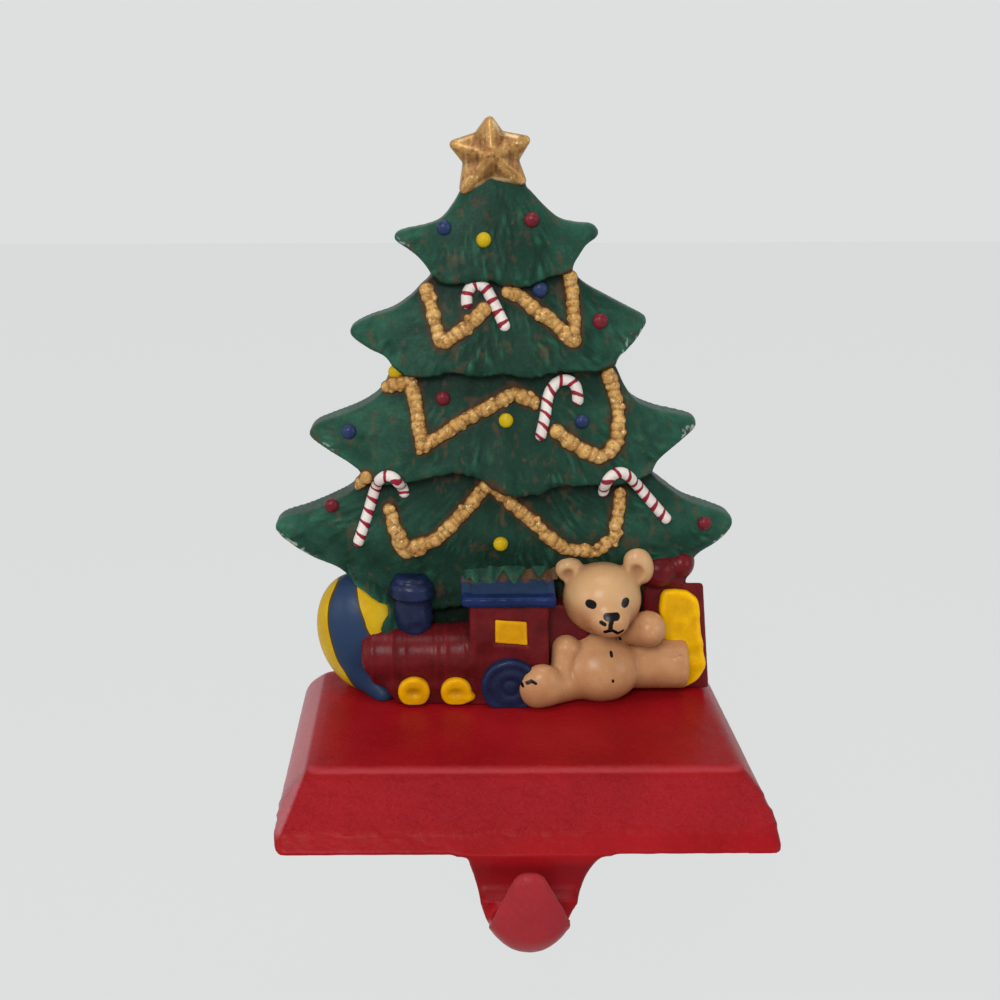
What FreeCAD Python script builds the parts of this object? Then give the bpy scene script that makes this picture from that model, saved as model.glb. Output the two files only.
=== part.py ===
import FreeCAD, Part
import math
import os

from FreeCAD import Vector

os.makedirs("parts", exist_ok=True)

# Mantel stocking holder: a painted cast-iron tree with toys, screwed to a hollow cast-iron base
# that ends in a hook. Millimetres. X runs along the mantel, -Y points into the room and +Z is up.
# The origin is on the mantel's top front edge, at the middle of the base.

# Felt pads under the base
pad_thickness = 1.0
pad_width = 5.0
pad_edge = 2.0

# Base casting
base_width = 108.0
base_height = 13.3
side_slope = 6.8
front_slope = 12.8
back_slope = 8.0
top_depth = 51.3
top_edge_round = 1.4
corner_round = 3.0
foot_wall = 5.5
top_wall = 5.2
hook_wall = 11.0
recess_draft = 3.5
recess_corner = 8.0

# Hook, which hangs in front of the mantel
hook_thickness = 5.2
hook_gap = 7.6
saddle_level = -7.7
hook_bottom = -18.0
lip_base_thickness = 4.8
lip_top_thickness = 2.8
lip_top = 3.2
lip_round = 0.9
hook_root_left = -12.5
hook_root_right = 14.1
hook_root_fillet = 2.4
curl_left = -9.1
curl_right = 8.5
lip_tip_x = -1.9
lip_tip_half = 2.2
lip_flare_level = -1.5
lip_flare_half = 5.0
bowl_facets = 12

# Screws up into the figure
screw_spacing = 44.0
screw_shift = 2.0
screw_setback = 9.0
screw_radius = 2.5
screw_length = 13.0
screw_hole_clearance = 0.3
screw_seat_clearance = 0.05
screw_head_flats = 8.0
screw_head_height = 3.5
screw_head_chamfer = 0.6
screw_tip_room = 2.0

# Figure casting: heights are above its seat, depths are forward from its flat back
figure_setback = 2.1
back_stock = 1.5
tree_foot_x = -1.6
tree_lean = -0.036
bough_count = 9
bough_facets = 2
bough_bulge = 0.08
hem_scallop = 1.5
tip_round = 1.2
tip_sweep = 1.6
envelope_margin = 1.07
tier_tuck = 3.5

# Four tiers of boughs, from the top one down, with heights drawn for a star at this height
drawn_star_height = 128.0
tip_reach = [22.8, 34.0, 45.4, 55.3]
tip_height_left = [109.9, 88.6, 65.3, 42.7]
tip_height_right = [111.4, 91.2, 66.5, 42.3]
shoulder_reach = [12.2, 21.3, 31.2, 41.6]
shoulder_height = [114.6, 96.4, 72.5, 49.0]
notch_reach = [15.2, 25.2, 33.9, 41.5]
notch_height = [103.0, 81.5, 56.6, 31.0]
hem_height = [100.6, 79.8, 53.9, 27.4]
waist_depth = [7.2, 8.6, 10.4, 12.2]
tip_depth = [11.2, 13.6, 15.8, 17.4]
hem_depth = [12.8, 15.4, 17.8, 10.4]
crown_reach = 5.2

# Star
star_x = -7.0
star_height = 128.0
star_radius = 9.2
star_notch_radius = 5.9
star_turn = 3.0
star_edge_depth = 8.0
star_centre_depth = 10.8
star_sink = 2.0

# Rounded lumps are cut in flat facets
lump_sides = 12

# Beaded garlands, candy canes and baubles
bead_pitch = 3.0
bead_radius = 1.9
bead_waist = 1.2
bead_sides = 6
bead_rise = 0.35
cane_radius = 1.35
cane_crook = 3.2
cane_sides = 8
cane_bends = 5
bauble_radius = 2.3
bauble_sink = 1.1

# Toys along the foot of the tree
core_depth = 9.0
core_left = -37.0
core_right = 34.0
ball_x = -37.2
ball_height = 13.9
ball_depth = 6.2
ball_half_width = 11.6
ball_half_depth = 9.6
ball_half_height = 15.9
ball_tilt = 15.0
boiler_radius = 7.5
boiler_front_x = -37.8
boiler_nose = 2.4
boiler_depth = 12.0
boiler_height = 10.8
boiler_rings = [2.9, 7.6, 10.6, 18.2, 20.5, 24.8]
boiler_ring_rise = 0.4
boiler_ring_width = 1.0
boiler_sides = 22
chimney_x = -25.1
chimney_depth = 11.0
chimney_foot = 2.8
chimney_radius = 4.6
chimney_swell = 4.0
chimney_edge = 1.2
chimney_sides = 18
chimney_cap_radius = 5.4
chimney_cap_height = 4.6
chimney_top = 31.5
chassis_left = -31.8
chassis_height = 5.0
cab_left = -11.6
cab_right = 6.8
cab_depth = 18.4
cab_top = 26.0
window_left = -5.7
window_right = 2.3
window_bottom = 15.7
window_top = 22.0
window_recess = 0.7
roof_overhang = 2.0
roof_drip = 0.2
roof_edge = 2.6
roof_rise = 5.4
wheel_radius = 3.9
wheel_depth = 19.6
wheel_thickness = 3.0
wheel_edge = 0.7
wheel_sides = 20
wheel_steps = [12.8, 23.1]
wheel_hub_radius = 1.3
wheel_hub_rise = 0.8
wheel_hub_sides = 8
drive_wheel_x = -1.9
drive_wheel_height = 5.5
drive_wheel_radius = 7.0
drive_wheel_depth = 20.8
gift_left = 31.0
gift_right = 47.8
gift_top = 27.6
gift_depth = 10.0
ribbon_left = 35.4
ribbon_right = 46.2
ribbon_rise = 1.2
bow_x = 38.0
bow_half_width = 5.2
bow_half_height = 3.8
bear_x = 20.4
bear_head_depth = 13.0
bear_head_height = 25.1
bear_head = 9.9

# Worked out from the sizes above
base_front = -hook_thickness
base_back = base_front + front_slope + top_depth + back_slope
foot_level = pad_thickness
seat_level = foot_level + base_height
top_front = base_front + front_slope
top_back = top_front + top_depth
figure_back = top_back - figure_setback
half_base = base_width / 2
half_top = half_base - side_slope
crown_height = star_height - star_sink
figure_reach = 2 * max(hem_depth)


def tree_axis(height):
    return tree_foot_x + tree_lean * height


def raised(height):
    # A height on the tree, which follows the star when that is set higher or lower
    return height * star_height / drawn_star_height


def at(x, depth, height):
    # A point of the figure: forward from its back, up from its seat
    return Vector(x, figure_back - depth, seat_level + height)


def block(left, right, back, front, bottom, top):
    # A box of the figure, given by its depths and heights
    return Part.makeBox(right - left, front - back, top - bottom, at(left, front, bottom))


def skin(rings):
    # A closed faceted solid through rings of as many points each; its ends are flat or points
    faces = []
    for low, high in zip(rings, rings[1:]):
        count = max(len(low), len(high))
        for index in range(count):
            after = (index + 1) % count
            corners = [low[index % len(low)], low[after % len(low)],
                       high[after % len(high)], high[index % len(high)]]
            for triple in ((0, 1, 2), (0, 2, 3)):
                points = [corners[place] for place in triple]
                if (points[1] - points[0]).cross(points[2] - points[0]).Length > 1e-7:
                    faces.append(Part.Face(Part.makePolygon(points + [points[0]])))
    for ring in (rings[0], rings[-1]):
        if len(ring) > 1:
            faces.append(Part.Face(Part.makePolygon(ring + [ring[0]])))
    solid = Part.Solid(Part.Shell(faces))
    if solid.Volume < 0:
        solid.reverse()
    return solid.removeSplitter()


def turned(place, direction, profile, sides):
    # A round part in flat facets, from how far along its axis and how wide it is at each step
    beside = direction.cross(Vector(0, 0, 1) if abs(direction.y) > 0.5 else Vector(0, 1, 0))
    beside.normalize()
    upward = direction.cross(beside)
    rings = []
    for along, radius in profile:
        ring = []
        for index in range(sides):
            angle = 2 * math.pi * (index + 0.5) / sides
            ring.append(place + direction * along
                        + beside * (radius * math.cos(angle)) + upward * (radius * math.sin(angle)))
        rings.append(ring)
    return skin(rings)


def frustum(half_low, front_low, back_low, level_low, half_high, front_high, back_high, level_high):
    # A block with sloping sides between two level rectangles
    rings = []
    for half, front, back, level in ((half_low, front_low, back_low, level_low),
                                     (half_high, front_high, back_high, level_high)):
        rings.append([Vector(-half, front, level), Vector(half, front, level),
                      Vector(half, back, level), Vector(-half, back, level)])
    return skin(rings)


def round_corners(solid, radius):
    # Round the four sloping corner edges of a block
    upright = [edge for edge in solid.Edges if edge.BoundBox.ZLength > 1]
    return solid.makeFillet(radius, upright)


def across(points):
    # A flat outline in the plane of the hook's curl, drawn out sideways past the hook on both sides
    reach = 2 * hook_root_right
    edges = []
    for shape in points:
        corners = [Vector(-reach, y, level) for y, level in shape]
        if len(corners) == 3:
            edges.append(Part.Arc(corners[0], corners[1], corners[2]).toShape())
        else:
            edges.append(Part.makeLine(corners[0], corners[1]))
    return Part.Face(Part.Wire(edges)).extrude(Vector(2 * reach, 0, 0))


def seen_from_front(corners, front, back):
    # A straight-sided outline seen from the front, drawn out between two depths
    points = [Vector(x, front, level) for x, level in corners]
    return Part.Face(Part.makePolygon(points + [points[0]])).extrude(Vector(0, back - front, 0))


def make_hook():
    # A strip that lies flat against the mantel, turns up round a saddle and ends in a tapered lip
    outer = (hook_thickness + hook_gap + lip_base_thickness) / 2
    curl_level = hook_bottom + outer
    lip_front = -2 * outer
    lip_back = -hook_thickness - hook_gap
    saddle_y = -hook_thickness - hook_gap / 2
    saddle_start = saddle_level + hook_gap / 2
    tip_back = lip_back - lip_round / 2
    tip_front = tip_back - lip_top_thickness + lip_round
    root_level = foot_level + hook_thickness
    root_y = base_front + hook_thickness * front_slope / base_height
    strip = across([
        [(0, root_level), (0, curl_level)],
        [(0, curl_level), (-outer, hook_bottom), (lip_front, curl_level)],
        [(lip_front, curl_level), (tip_front - lip_round / 2, lip_top - lip_round)],
        [(tip_front - lip_round / 2, lip_top - lip_round), ((tip_front + tip_back) / 2, lip_top),
         (tip_back + lip_round / 2, lip_top - lip_round)],
        [(tip_back + lip_round / 2, lip_top - lip_round), (lip_back, saddle_start)],
        [(lip_back, saddle_start), (saddle_y, saddle_level), (-hook_thickness, saddle_start)],
        [(-hook_thickness, saddle_start), (-hook_thickness, foot_level)],
        [(-hook_thickness, foot_level), (root_y, root_level)],
        [(root_y, root_level), (0, root_level)],
    ])
    middle = (curl_left + curl_right) / 2
    half = (curl_right - curl_left) / 2
    bowl_level = hook_bottom + half
    bowl = []
    for index in range(bowl_facets + 1):
        turn = math.pi * index / bowl_facets
        bowl.append((middle + half * math.cos(turn), bowl_level - half * math.sin(turn)))
    fillet = hook_root_fillet
    tongue = seen_from_front(bowl + [
        (hook_root_left, foot_level - fillet), (hook_root_left - fillet * 0.3, foot_level - fillet * 0.35),
        (hook_root_left - fillet, foot_level), (hook_root_left - fillet, root_level),
        (hook_root_right + fillet, root_level), (hook_root_right + fillet, foot_level),
        (hook_root_right + fillet * 0.3, foot_level - fillet * 0.35),
        (hook_root_right, foot_level - fillet)],
        -outer, hook_thickness)
    lip = seen_from_front(bowl + [
        (lip_tip_x - lip_flare_half, lip_flare_level), (lip_tip_x - lip_tip_half, lip_top - lip_round),
        (lip_tip_x - lip_tip_half * 0.5, lip_top), (lip_tip_x + lip_tip_half * 0.5, lip_top),
        (lip_tip_x + lip_tip_half, lip_top - lip_round), (lip_tip_x + lip_flare_half, lip_flare_level)],
        lip_front - 1, -outer)
    return strip.common(tongue.fuse(lip).removeSplitter())


def screw_places():
    centre = tree_foot_x + screw_shift
    return [centre - screw_spacing / 2, centre + screw_spacing / 2]


def make_base():
    outer = frustum(half_base, base_front, base_back, foot_level,
                    half_top, top_front, top_back, seat_level)
    outer = round_corners(outer, corner_round)
    rim = [edge for edge in outer.Edges
           if edge.BoundBox.ZMin > seat_level - 0.01]
    outer = outer.makeFillet(top_edge_round, rim)
    ceiling = seat_level - top_wall
    recess_half = half_base - foot_wall
    recess_front = base_front + hook_wall
    recess_back = base_back - foot_wall
    recess = frustum(recess_half, recess_front, recess_back, foot_level, recess_half - recess_draft,
                     recess_front + recess_draft, recess_back - recess_draft, ceiling)
    recess = round_corners(recess, recess_corner)
    body = outer.fuse(make_hook()).cut(recess)
    for x in screw_places():
        hole = Part.makeCylinder(screw_radius + screw_hole_clearance, 3 * top_wall,
                                 Vector(x, figure_back - screw_setback, ceiling - top_wall))
        body = body.cut(hole)
    return body


def make_pads():
    # A felt square near each corner, on the flat rim
    pads = []
    for x in (-half_base + pad_edge, half_base - pad_edge - pad_width):
        for y in (base_front + pad_edge, base_back - pad_edge - pad_width):
            pads.append(Part.makeBox(pad_width, pad_width, pad_thickness, Vector(x, y, 0)))
    return Part.makeCompound(pads)


def make_screws():
    # Hexagon-headed, from below through the base and up into the figure
    screws = []
    ceiling = seat_level - top_wall
    corner = screw_head_flats / 2 / math.cos(math.pi / 6)
    head = [(0, corner), (screw_head_height - screw_head_chamfer, corner),
            (screw_head_height, corner - screw_head_chamfer)]
    for x in screw_places():
        place = Vector(x, figure_back - screw_setback, ceiling)
        shank = Part.makeCylinder(screw_radius, screw_length, place)
        screws.append(shank.fuse(turned(place, Vector(0, 0, -1), head, 6)))
    return Part.makeCompound(screws)


def tier_levels(tier):
    # Height, half-width and depth of one tier at its top, shoulder, tips and hem
    tip = raised((tip_height_left[tier] + tip_height_right[tier]) / 2)
    if tier == 0:
        top = crown_height
        top_half = crown_reach
    else:
        top = raised(notch_height[tier - 1]) + tier_tuck
        top_half = notch_reach[tier - 1]
    shoulder_depth = (waist_depth[tier] + tip_depth[tier]) / 2
    return [
        (top, top_half * envelope_margin, waist_depth[tier]),
        (raised(shoulder_height[tier]), shoulder_reach[tier] * envelope_margin * 1.05, shoulder_depth),
        (tip, tip_reach[tier] * envelope_margin, tip_depth[tier]),
        (raised(hem_height[tier]) - hem_scallop,
         notch_reach[tier] * envelope_margin * 1.1, hem_depth[tier]),
    ]


def surface_depth(x, height):
    # How far the boughs stand out from the back at a point seen from the front
    deepest = 0.0
    for tier in range(len(tip_reach)):
        levels = tier_levels(tier)
        for upper, lower in zip(levels, levels[1:]):
            if lower[0] <= height <= upper[0]:
                share = (upper[0] - height) / (upper[0] - lower[0])
                half = upper[1] + (lower[1] - upper[1]) * share
                depth = upper[2] + (lower[2] - upper[2]) * share
                off = (x - tree_axis(height)) / half
                if abs(off) < 1:
                    deepest = max(deepest, depth * math.sqrt(1 - off * off))
    return deepest


def bough_section(height, half, depth, bulge):
    # Half an oval of flat facets that swell over each bough, closed behind the figure's back
    axis = tree_axis(height)
    ring = [at(axis + half, -back_stock, height)]
    count = bough_count * bough_facets
    for index in range(count + 1):
        angle = math.pi * index / count
        swell = 1 + bulge * math.sin(math.pi * (index % bough_facets) / bough_facets)
        ring.append(at(axis + half * swell * math.cos(angle), depth * swell * math.sin(angle), height))
    ring.append(at(axis - half, -back_stock, height))
    return ring


def tier_outline(tier):
    # One tier seen from the front: pointed tips at the sides and a ragged hem
    top, top_half = tier_levels(tier)[0][:2]
    shoulder = raised(shoulder_height[tier])
    notch = raised(notch_height[tier])
    edge = raised(hem_height[tier])

    def side(sign, tip):
        # From the top out to the tip and back in to the notch
        tip_x = tree_axis(tip) + sign * tip_reach[tier]
        shoulder_x = tree_axis(shoulder) + sign * shoulder_reach[tier]
        return [
            (tree_axis(top) + sign * top_half / envelope_margin, top),
            (shoulder_x, shoulder),
            ((shoulder_x + tip_x) / 2 - sign * tip_sweep, (shoulder + tip) / 2 - tip_sweep * 0.4),
            (tip_x - sign * tip_round * 1.4, tip + tip_round * 0.7),
            (tip_x, tip),
            (tip_x - sign * tip_round, tip - tip_round),
            (tree_axis(notch) + sign * notch_reach[tier], notch),
        ]

    left = side(-1, raised(tip_height_left[tier]))
    right = side(1, raised(tip_height_right[tier]))
    hem_half = tier_levels(tier)[3][1]
    hem = []
    for index in range(1, 2 * bough_count):
        x = tree_axis(edge) + hem_half * math.cos(math.pi * index / (2 * bough_count))
        if left[-1][0] + hem_scallop < x < right[-1][0] - hem_scallop:
            hem.append((x, edge + (hem_scallop if index % 2 == 0 else -hem_scallop / 2)))
    points = [at(x, figure_reach, height) for x, height in right + hem + list(reversed(left))]
    outline = Part.Face(Part.makePolygon(points + [points[0]]))
    return outline.extrude(Vector(0, figure_reach + back_stock, 0))


def make_tier(tier):
    rings = []
    for order, (height, half, depth) in enumerate(tier_levels(tier)):
        rings.append(bough_section(height, half, depth, bough_bulge * order / 3))
    return skin(rings).common(tier_outline(tier))


def make_star():
    # Five points, each ridged from the centre to its tip, standing on a straight edge
    rim = []
    for index in range(10):
        radius = star_radius if index % 2 == 0 else star_notch_radius
        angle = math.radians(90 + star_turn + 36 * index)
        rim.append((star_x + radius * math.cos(angle), star_height + radius * math.sin(angle)))
    front = [at(x, star_edge_depth, height) for x, height in rim]
    back = [at(x, -back_stock, height) for x, height in rim]
    return skin([back, front, [at(star_x, star_centre_depth, star_height)]])


# Garland routes over the boughs, as across and up from the seat
garland_routes = [
    [(-37.3, 55.8), (-35.3, 55.8)],
    [(-21.4, 98.9), (-18.3, 87.2), (-15.1, 89.0), (-8.6, 94.5)],
    [(-3.0, 98.5), (11.8, 87.6), (11.9, 94.4), (10.9, 101.5)],
    [(-30.9, 76.6), (-26.5, 78.4), (-22.7, 63.5), (-13.0, 69.7), (-1.4, 75.9), (3.0, 73.7)],
    [(20.3, 79.7), (22.6, 73.0), (22.6, 64.3), (18.7, 60.9), (8.2, 67.0)],
    [(-30.3, 48.3), (-27.8, 38.5), (-19.1, 41.5), (-7.1, 54.3), (11.1, 38.3), (18.2, 37.7),
     (22.3, 41.1), (23.8, 51.7)],
]


def make_beads(route):
    # Faceted beads, each of two cut cones joined at their wide ends
    half = bead_pitch / 2
    profile = [(-half, bead_waist), (0, bead_radius), (half, bead_waist)]
    beads = []
    route = [(x, raised(height)) for x, height in route]
    for start, end in zip(route, route[1:]):
        length = math.dist(start, end)
        count = max(1, round(length / bead_pitch))
        for index in range(count):
            share = (index + 0.5) / count
            x = start[0] + (end[0] - start[0]) * share
            height = start[1] + (end[1] - start[1]) * share
            along = Vector(end[0] - start[0], 0, end[1] - start[1])
            along.normalize()
            middle = at(x, surface_depth(x, height) + bead_rise, height)
            beads.append(turned(middle, along, profile, bead_sides))
    return beads


# Candy canes: foot across and up, lean of the stem in degrees, stem length, side of the crook
candy_canes = [
    (-3.9, 91.1, 28.0, 7.7, -1),
    (4.6, 65.9, -10.0, 10.0, 1),
    (-37.9, 40.0, -18.0, 16.0, 1),
    (34.9, 45.1, 40.0, 14.0, -1),
]


def make_cane(foot_x, foot_height, lean, stem, side):
    # A rod bent over at the top, half sunk in the boughs
    angle = math.radians(lean)
    up = Vector(-math.sin(angle), 0, math.cos(angle))
    across_stem = Vector(math.cos(angle), 0, math.sin(angle)) * side
    foot_height = raised(foot_height)
    foot = at(foot_x, surface_depth(foot_x, foot_height), foot_height)
    centre = foot + up * stem + across_stem * cane_crook
    stations = [(foot, across_stem, cane_radius * 0.8), (foot + up * cane_radius, across_stem, cane_radius)]
    for index in range(cane_bends + 1):
        turn = math.pi * index / cane_bends
        out = up * math.sin(turn) - across_stem * math.cos(turn)
        stations.append((centre + out * cane_crook, -out, cane_radius))
    rings = []
    for place, inward, radius in stations:
        height = place.z - seat_level
        middle = Vector(place.x, figure_back - surface_depth(place.x, height) - cane_radius * 0.2, place.z)
        ring = []
        for index in range(cane_sides):
            angle = 2 * math.pi * (index + 0.5) / cane_sides
            ring.append(middle + inward * (radius * math.cos(angle))
                        + Vector(0, radius * math.sin(angle), 0))
        rings.append(ring)
    return skin(rings)


bauble_places = [(-17.5, 112.5), (-8.7, 110.0), (2.0, 114.2), (4.1, 99.5), (17.9, 91.8), (-29.2, 80.3),
                 (-17.8, 74.5), (-3.4, 69.7), (14.1, 69.2), (-39.6, 66.5), (-44.3, 48.2), (44.4, 43.6),
                 (-4.3, 40.1)]


def make_bauble(x, height):
    height = raised(height)
    depth = surface_depth(x, height) - bauble_sink
    return lump(x, depth, height, bauble_radius, bauble_radius, bauble_radius, 0, 10)


def lump(x, depth, height, half_x, half_depth, half_height, tilt=0.0, sides=lump_sides):
    # An egg-shaped lump cut in flat facets, turned about the axis that points out of the figure
    rings = []
    rows = sides // 2
    lean = math.radians(tilt)
    for row in range(rows + 1):
        rise = math.pi * (row / rows - 0.5)
        ring = []
        for index in range(sides if 0 < row < rows else 1):
            angle = 2 * math.pi * (index + 0.5) / sides
            across_x = half_x * math.cos(rise) * math.cos(angle)
            up = half_height * math.sin(rise)
            ring.append(at(x + across_x * math.cos(lean) + up * math.sin(lean),
                           depth + half_depth * math.cos(rise) * math.sin(angle),
                           height + up * math.cos(lean) - across_x * math.sin(lean)))
        rings.append(ring)
    return skin(rings)


def make_train():
    along = Vector(1, 0, 0)
    out = Vector(0, -1, 0)
    upward = Vector(0, 0, 1)
    start = at(boiler_front_x, boiler_depth, boiler_height)
    nose = [(0, boiler_radius - boiler_nose), (boiler_nose, boiler_radius),
            (cab_left - boiler_front_x + 1, boiler_radius)]
    parts = [turned(start, along, nose, boiler_sides)]
    ring = [(0, boiler_radius + boiler_ring_rise), (boiler_ring_width, boiler_radius + boiler_ring_rise)]
    for step in boiler_rings:
        parts.append(turned(start + along * step, along, ring, boiler_sides))
    above = boiler_height + boiler_radius
    cap_bottom = chimney_top - chimney_cap_height
    profile = [(boiler_height, chimney_foot), (above - chimney_edge, chimney_foot),
               (above + chimney_swell, chimney_radius),
               (cap_bottom, chimney_radius - chimney_edge / 2), (cap_bottom, chimney_cap_radius),
               (chimney_top - chimney_edge, chimney_cap_radius),
               (chimney_top, chimney_cap_radius - chimney_edge)]
    parts.append(turned(at(chimney_x, chimney_depth, 0), upward, profile, chimney_sides))
    parts.append(block(chassis_left, cab_left + 1, -back_stock, cab_depth - 1, 0, chassis_height))
    cab = block(cab_left, cab_right, -back_stock, cab_depth, 0, cab_top)
    cab = cab.cut(block(window_left, window_right, cab_depth - window_recess, cab_depth + 1,
                        window_bottom, window_top))
    parts.append(cab)
    left = cab_left - roof_overhang
    front = cab_depth + roof_overhang
    eave = cab_top - roof_drip
    section = [at(left, depth, height) for depth, height in (
        (front, eave), (front, eave + roof_edge), (core_depth, cab_top + roof_rise),
        (-back_stock, cab_top + roof_rise), (-back_stock, eave))]
    roof = Part.Face(Part.makePolygon(section + [section[0]]))
    parts.append(roof.extrude(Vector(cab_right + roof_overhang - left, 0, 0)))
    wheels = [(boiler_front_x + step, wheel_radius, wheel_radius, wheel_depth) for step in wheel_steps]
    wheels.append((drive_wheel_x, drive_wheel_height, drive_wheel_radius, drive_wheel_depth))
    for x, height, radius, depth in wheels:
        rim = [(0, radius), (wheel_thickness - wheel_edge, radius), (wheel_thickness, radius - wheel_edge)]
        parts.append(turned(at(x, depth - wheel_thickness, height), out, rim, wheel_sides))
        hub = [(0, wheel_hub_radius), (wheel_hub_rise + 1, wheel_hub_radius)]
        parts.append(turned(at(x, depth - 1, height), out, hub, wheel_hub_sides))
    return parts


def make_bear():
    # A seated teddy, every part of it in proportion to its head
    head = bear_head

    def part(sideways, depth, height, half_x, half_depth, half_height, tilt=0.0):
        # A lump placed from the middle of the head
        return lump(bear_x + sideways * head, bear_head_depth + depth * head,
                    bear_head_height + height * head,
                    half_x * head, half_depth * head, half_height * head, tilt)

    leg_radius = 0.63 * head
    hip = at(bear_x + 0.36 * head, bear_head_depth - 0.3 * head, leg_radius)
    leg = Part.makeCylinder(leg_radius, 1.8 * head, hip, Vector(1, 0, 0))
    skull = part(0, 0, 0, 1, 0.93, 0.9)
    ears = [part(-0.76, -0.18, 0.67, 0.35, 0.3, 0.38, 30), part(0.87, -0.12, 0.83, 0.36, 0.32, 0.49, -20)]
    muzzle = part(0.08, 0.8, -0.3, 0.45, 0.4, 0.37)
    torso = part(-0.08, -0.06, -1.72, 0.99, 0.87, 0.95)
    arms = [part(-0.92, 0.2, -1.4, 0.36, 0.36, 0.64, 8), part(1.04, 0.1, -0.67, 0.57, 0.42, 0.42, -10)]
    left_leg = [part(-1.0, 0.3, -2.14, 0.66, 0.44, 0.46), part(-1.6, 0.63, -2.06, 0.5, 0.37, 0.52, 20)]
    return [skull, muzzle, torso, leg] + ears + arms + left_leg


def make_gift():
    # A box with a ribbon round it and a bow on top
    box = block(gift_left, gift_right, -back_stock, gift_depth, 0, gift_top)
    ribbon = block(ribbon_left, ribbon_right, -back_stock, gift_depth + ribbon_rise,
                   0, gift_top + ribbon_rise)
    bow_height = gift_top + bow_half_height - ribbon_rise / 2
    bow = lump(bow_x, bow_half_height, bow_height, bow_half_width, bow_half_height, bow_half_height)
    return [box, ribbon, bow]


def make_figure():
    tree = [make_tier(tier) for tier in range(len(tip_reach))]
    core = block(core_left, core_right, -back_stock, core_depth, 0, raised(notch_height[3]) + tier_tuck / 2)
    ball = lump(ball_x, ball_depth, ball_height, ball_half_width, ball_half_depth,
                ball_half_height, -ball_tilt)
    figure = tree[0].fuse(tree[1:] + [make_star(), core])
    for toys in ([ball] + make_train(), make_bear(), make_gift()):
        figure = figure.fuse(toys[0].fuse(toys[1:]))
    for route in garland_routes:
        figure = figure.fuse(make_beads(route))
    for cane in candy_canes:
        figure = figure.fuse(make_cane(*cane))
    figure = figure.fuse([make_bauble(x, height) for x, height in bauble_places])
    room = block(-base_width, base_width, 0, figure_reach, 0, 2 * star_height)
    figure = figure.common(room)
    for x in screw_places():
        hole = Part.makeCylinder(screw_radius + screw_seat_clearance,
                                 screw_length - top_wall + screw_tip_room,
                                 Vector(x, figure_back - screw_setback, seat_level))
        figure = figure.cut(hole)
    return figure


nodes = {
    "base_with_hook": make_base,
    "tree_figure": make_figure,
    "figure_screws": make_screws,
    "felt_pads": make_pads,
}

for name, make in nodes.items():
    shape = make()
    solids = shape.Solids
    print(name, "solids", len(solids), "valid", shape.isValid(), "volume", round(shape.Volume, 1))
    if len(solids) == 1:
        shape = solids[0]
    shape.exportStep("parts/" + name + ".step")
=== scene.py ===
import math
import bpy
import numpy as np
import openvdb
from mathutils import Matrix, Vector


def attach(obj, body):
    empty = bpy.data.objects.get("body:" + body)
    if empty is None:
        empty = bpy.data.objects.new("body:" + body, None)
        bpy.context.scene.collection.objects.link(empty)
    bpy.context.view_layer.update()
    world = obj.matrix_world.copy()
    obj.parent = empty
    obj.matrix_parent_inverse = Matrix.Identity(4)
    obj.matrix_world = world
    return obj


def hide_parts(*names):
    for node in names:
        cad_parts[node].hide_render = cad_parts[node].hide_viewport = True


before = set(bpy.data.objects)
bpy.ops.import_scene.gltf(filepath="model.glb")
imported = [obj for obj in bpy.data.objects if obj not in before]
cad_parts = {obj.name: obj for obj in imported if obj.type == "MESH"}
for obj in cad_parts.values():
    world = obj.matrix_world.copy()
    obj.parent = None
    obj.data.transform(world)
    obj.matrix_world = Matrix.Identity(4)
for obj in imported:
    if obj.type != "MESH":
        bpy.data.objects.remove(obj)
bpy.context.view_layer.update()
mm = 0.001

# Shared places, in millimetres: across, towards the wall and up
backPlane = 56.8        # flat back of the figure
seat = 14.3             # top of the base, where the figure stands
toyBack = 56.7          # backs of the toys, just inside the tree's back


# Helpers
def linear(hexColour):
    # sRGB hex to the linear colour that the shaders take
    parts = [int(hexColour[i:i + 2], 16) / 255 for i in (1, 3, 5)]
    return tuple(c / 12.92 if c <= 0.04045 else ((c + 0.055) / 1.055) ** 2.4 for c in parts) + (1.0,)


def node(tree, kind, at, settings=None, inputs=None):
    # Adds a node, sets its properties, then fills or links its inputs
    made = tree.nodes.new(kind)
    made.location = (at[0] * 200, at[1] * -200)
    for name, value in (settings or {}).items():
        setattr(made, name, value)
    for name, value in (inputs or {}).items():
        if isinstance(value, bpy.types.NodeSocket):
            tree.links.new(value, made.inputs[name])
        else:
            made.inputs[name].default_value = value
    return made


def smoothMax(a, b, r):
    # The larger of two fields, with the edge between them rounded to about r
    h = np.clip(0.5 + 0.5 * (a - b) / r, 0, 1)
    return b + (a - b) * h + r * h * (1 - h)


def smoothMin(a, b, r):
    return -smoothMax(-a, -b, r)


def ramp(values, start, run):
    # 0 up to the start and 1 past the run; a run below zero goes the other way
    return np.clip((values - start) / run, 0, 1)


def eased(values):
    # Each value averaged with its two neighbours
    last = len(values) - 1
    return [(values[max(0, k - 1)] + values[k] + values[min(last, k + 1)]) / 3 for k in range(last + 1)]


def frontView(x, z):
    # The two coordinates of the front view as flat grids
    return [v[:, 0, :] for v in np.broadcast_arrays(x, z)]


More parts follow.
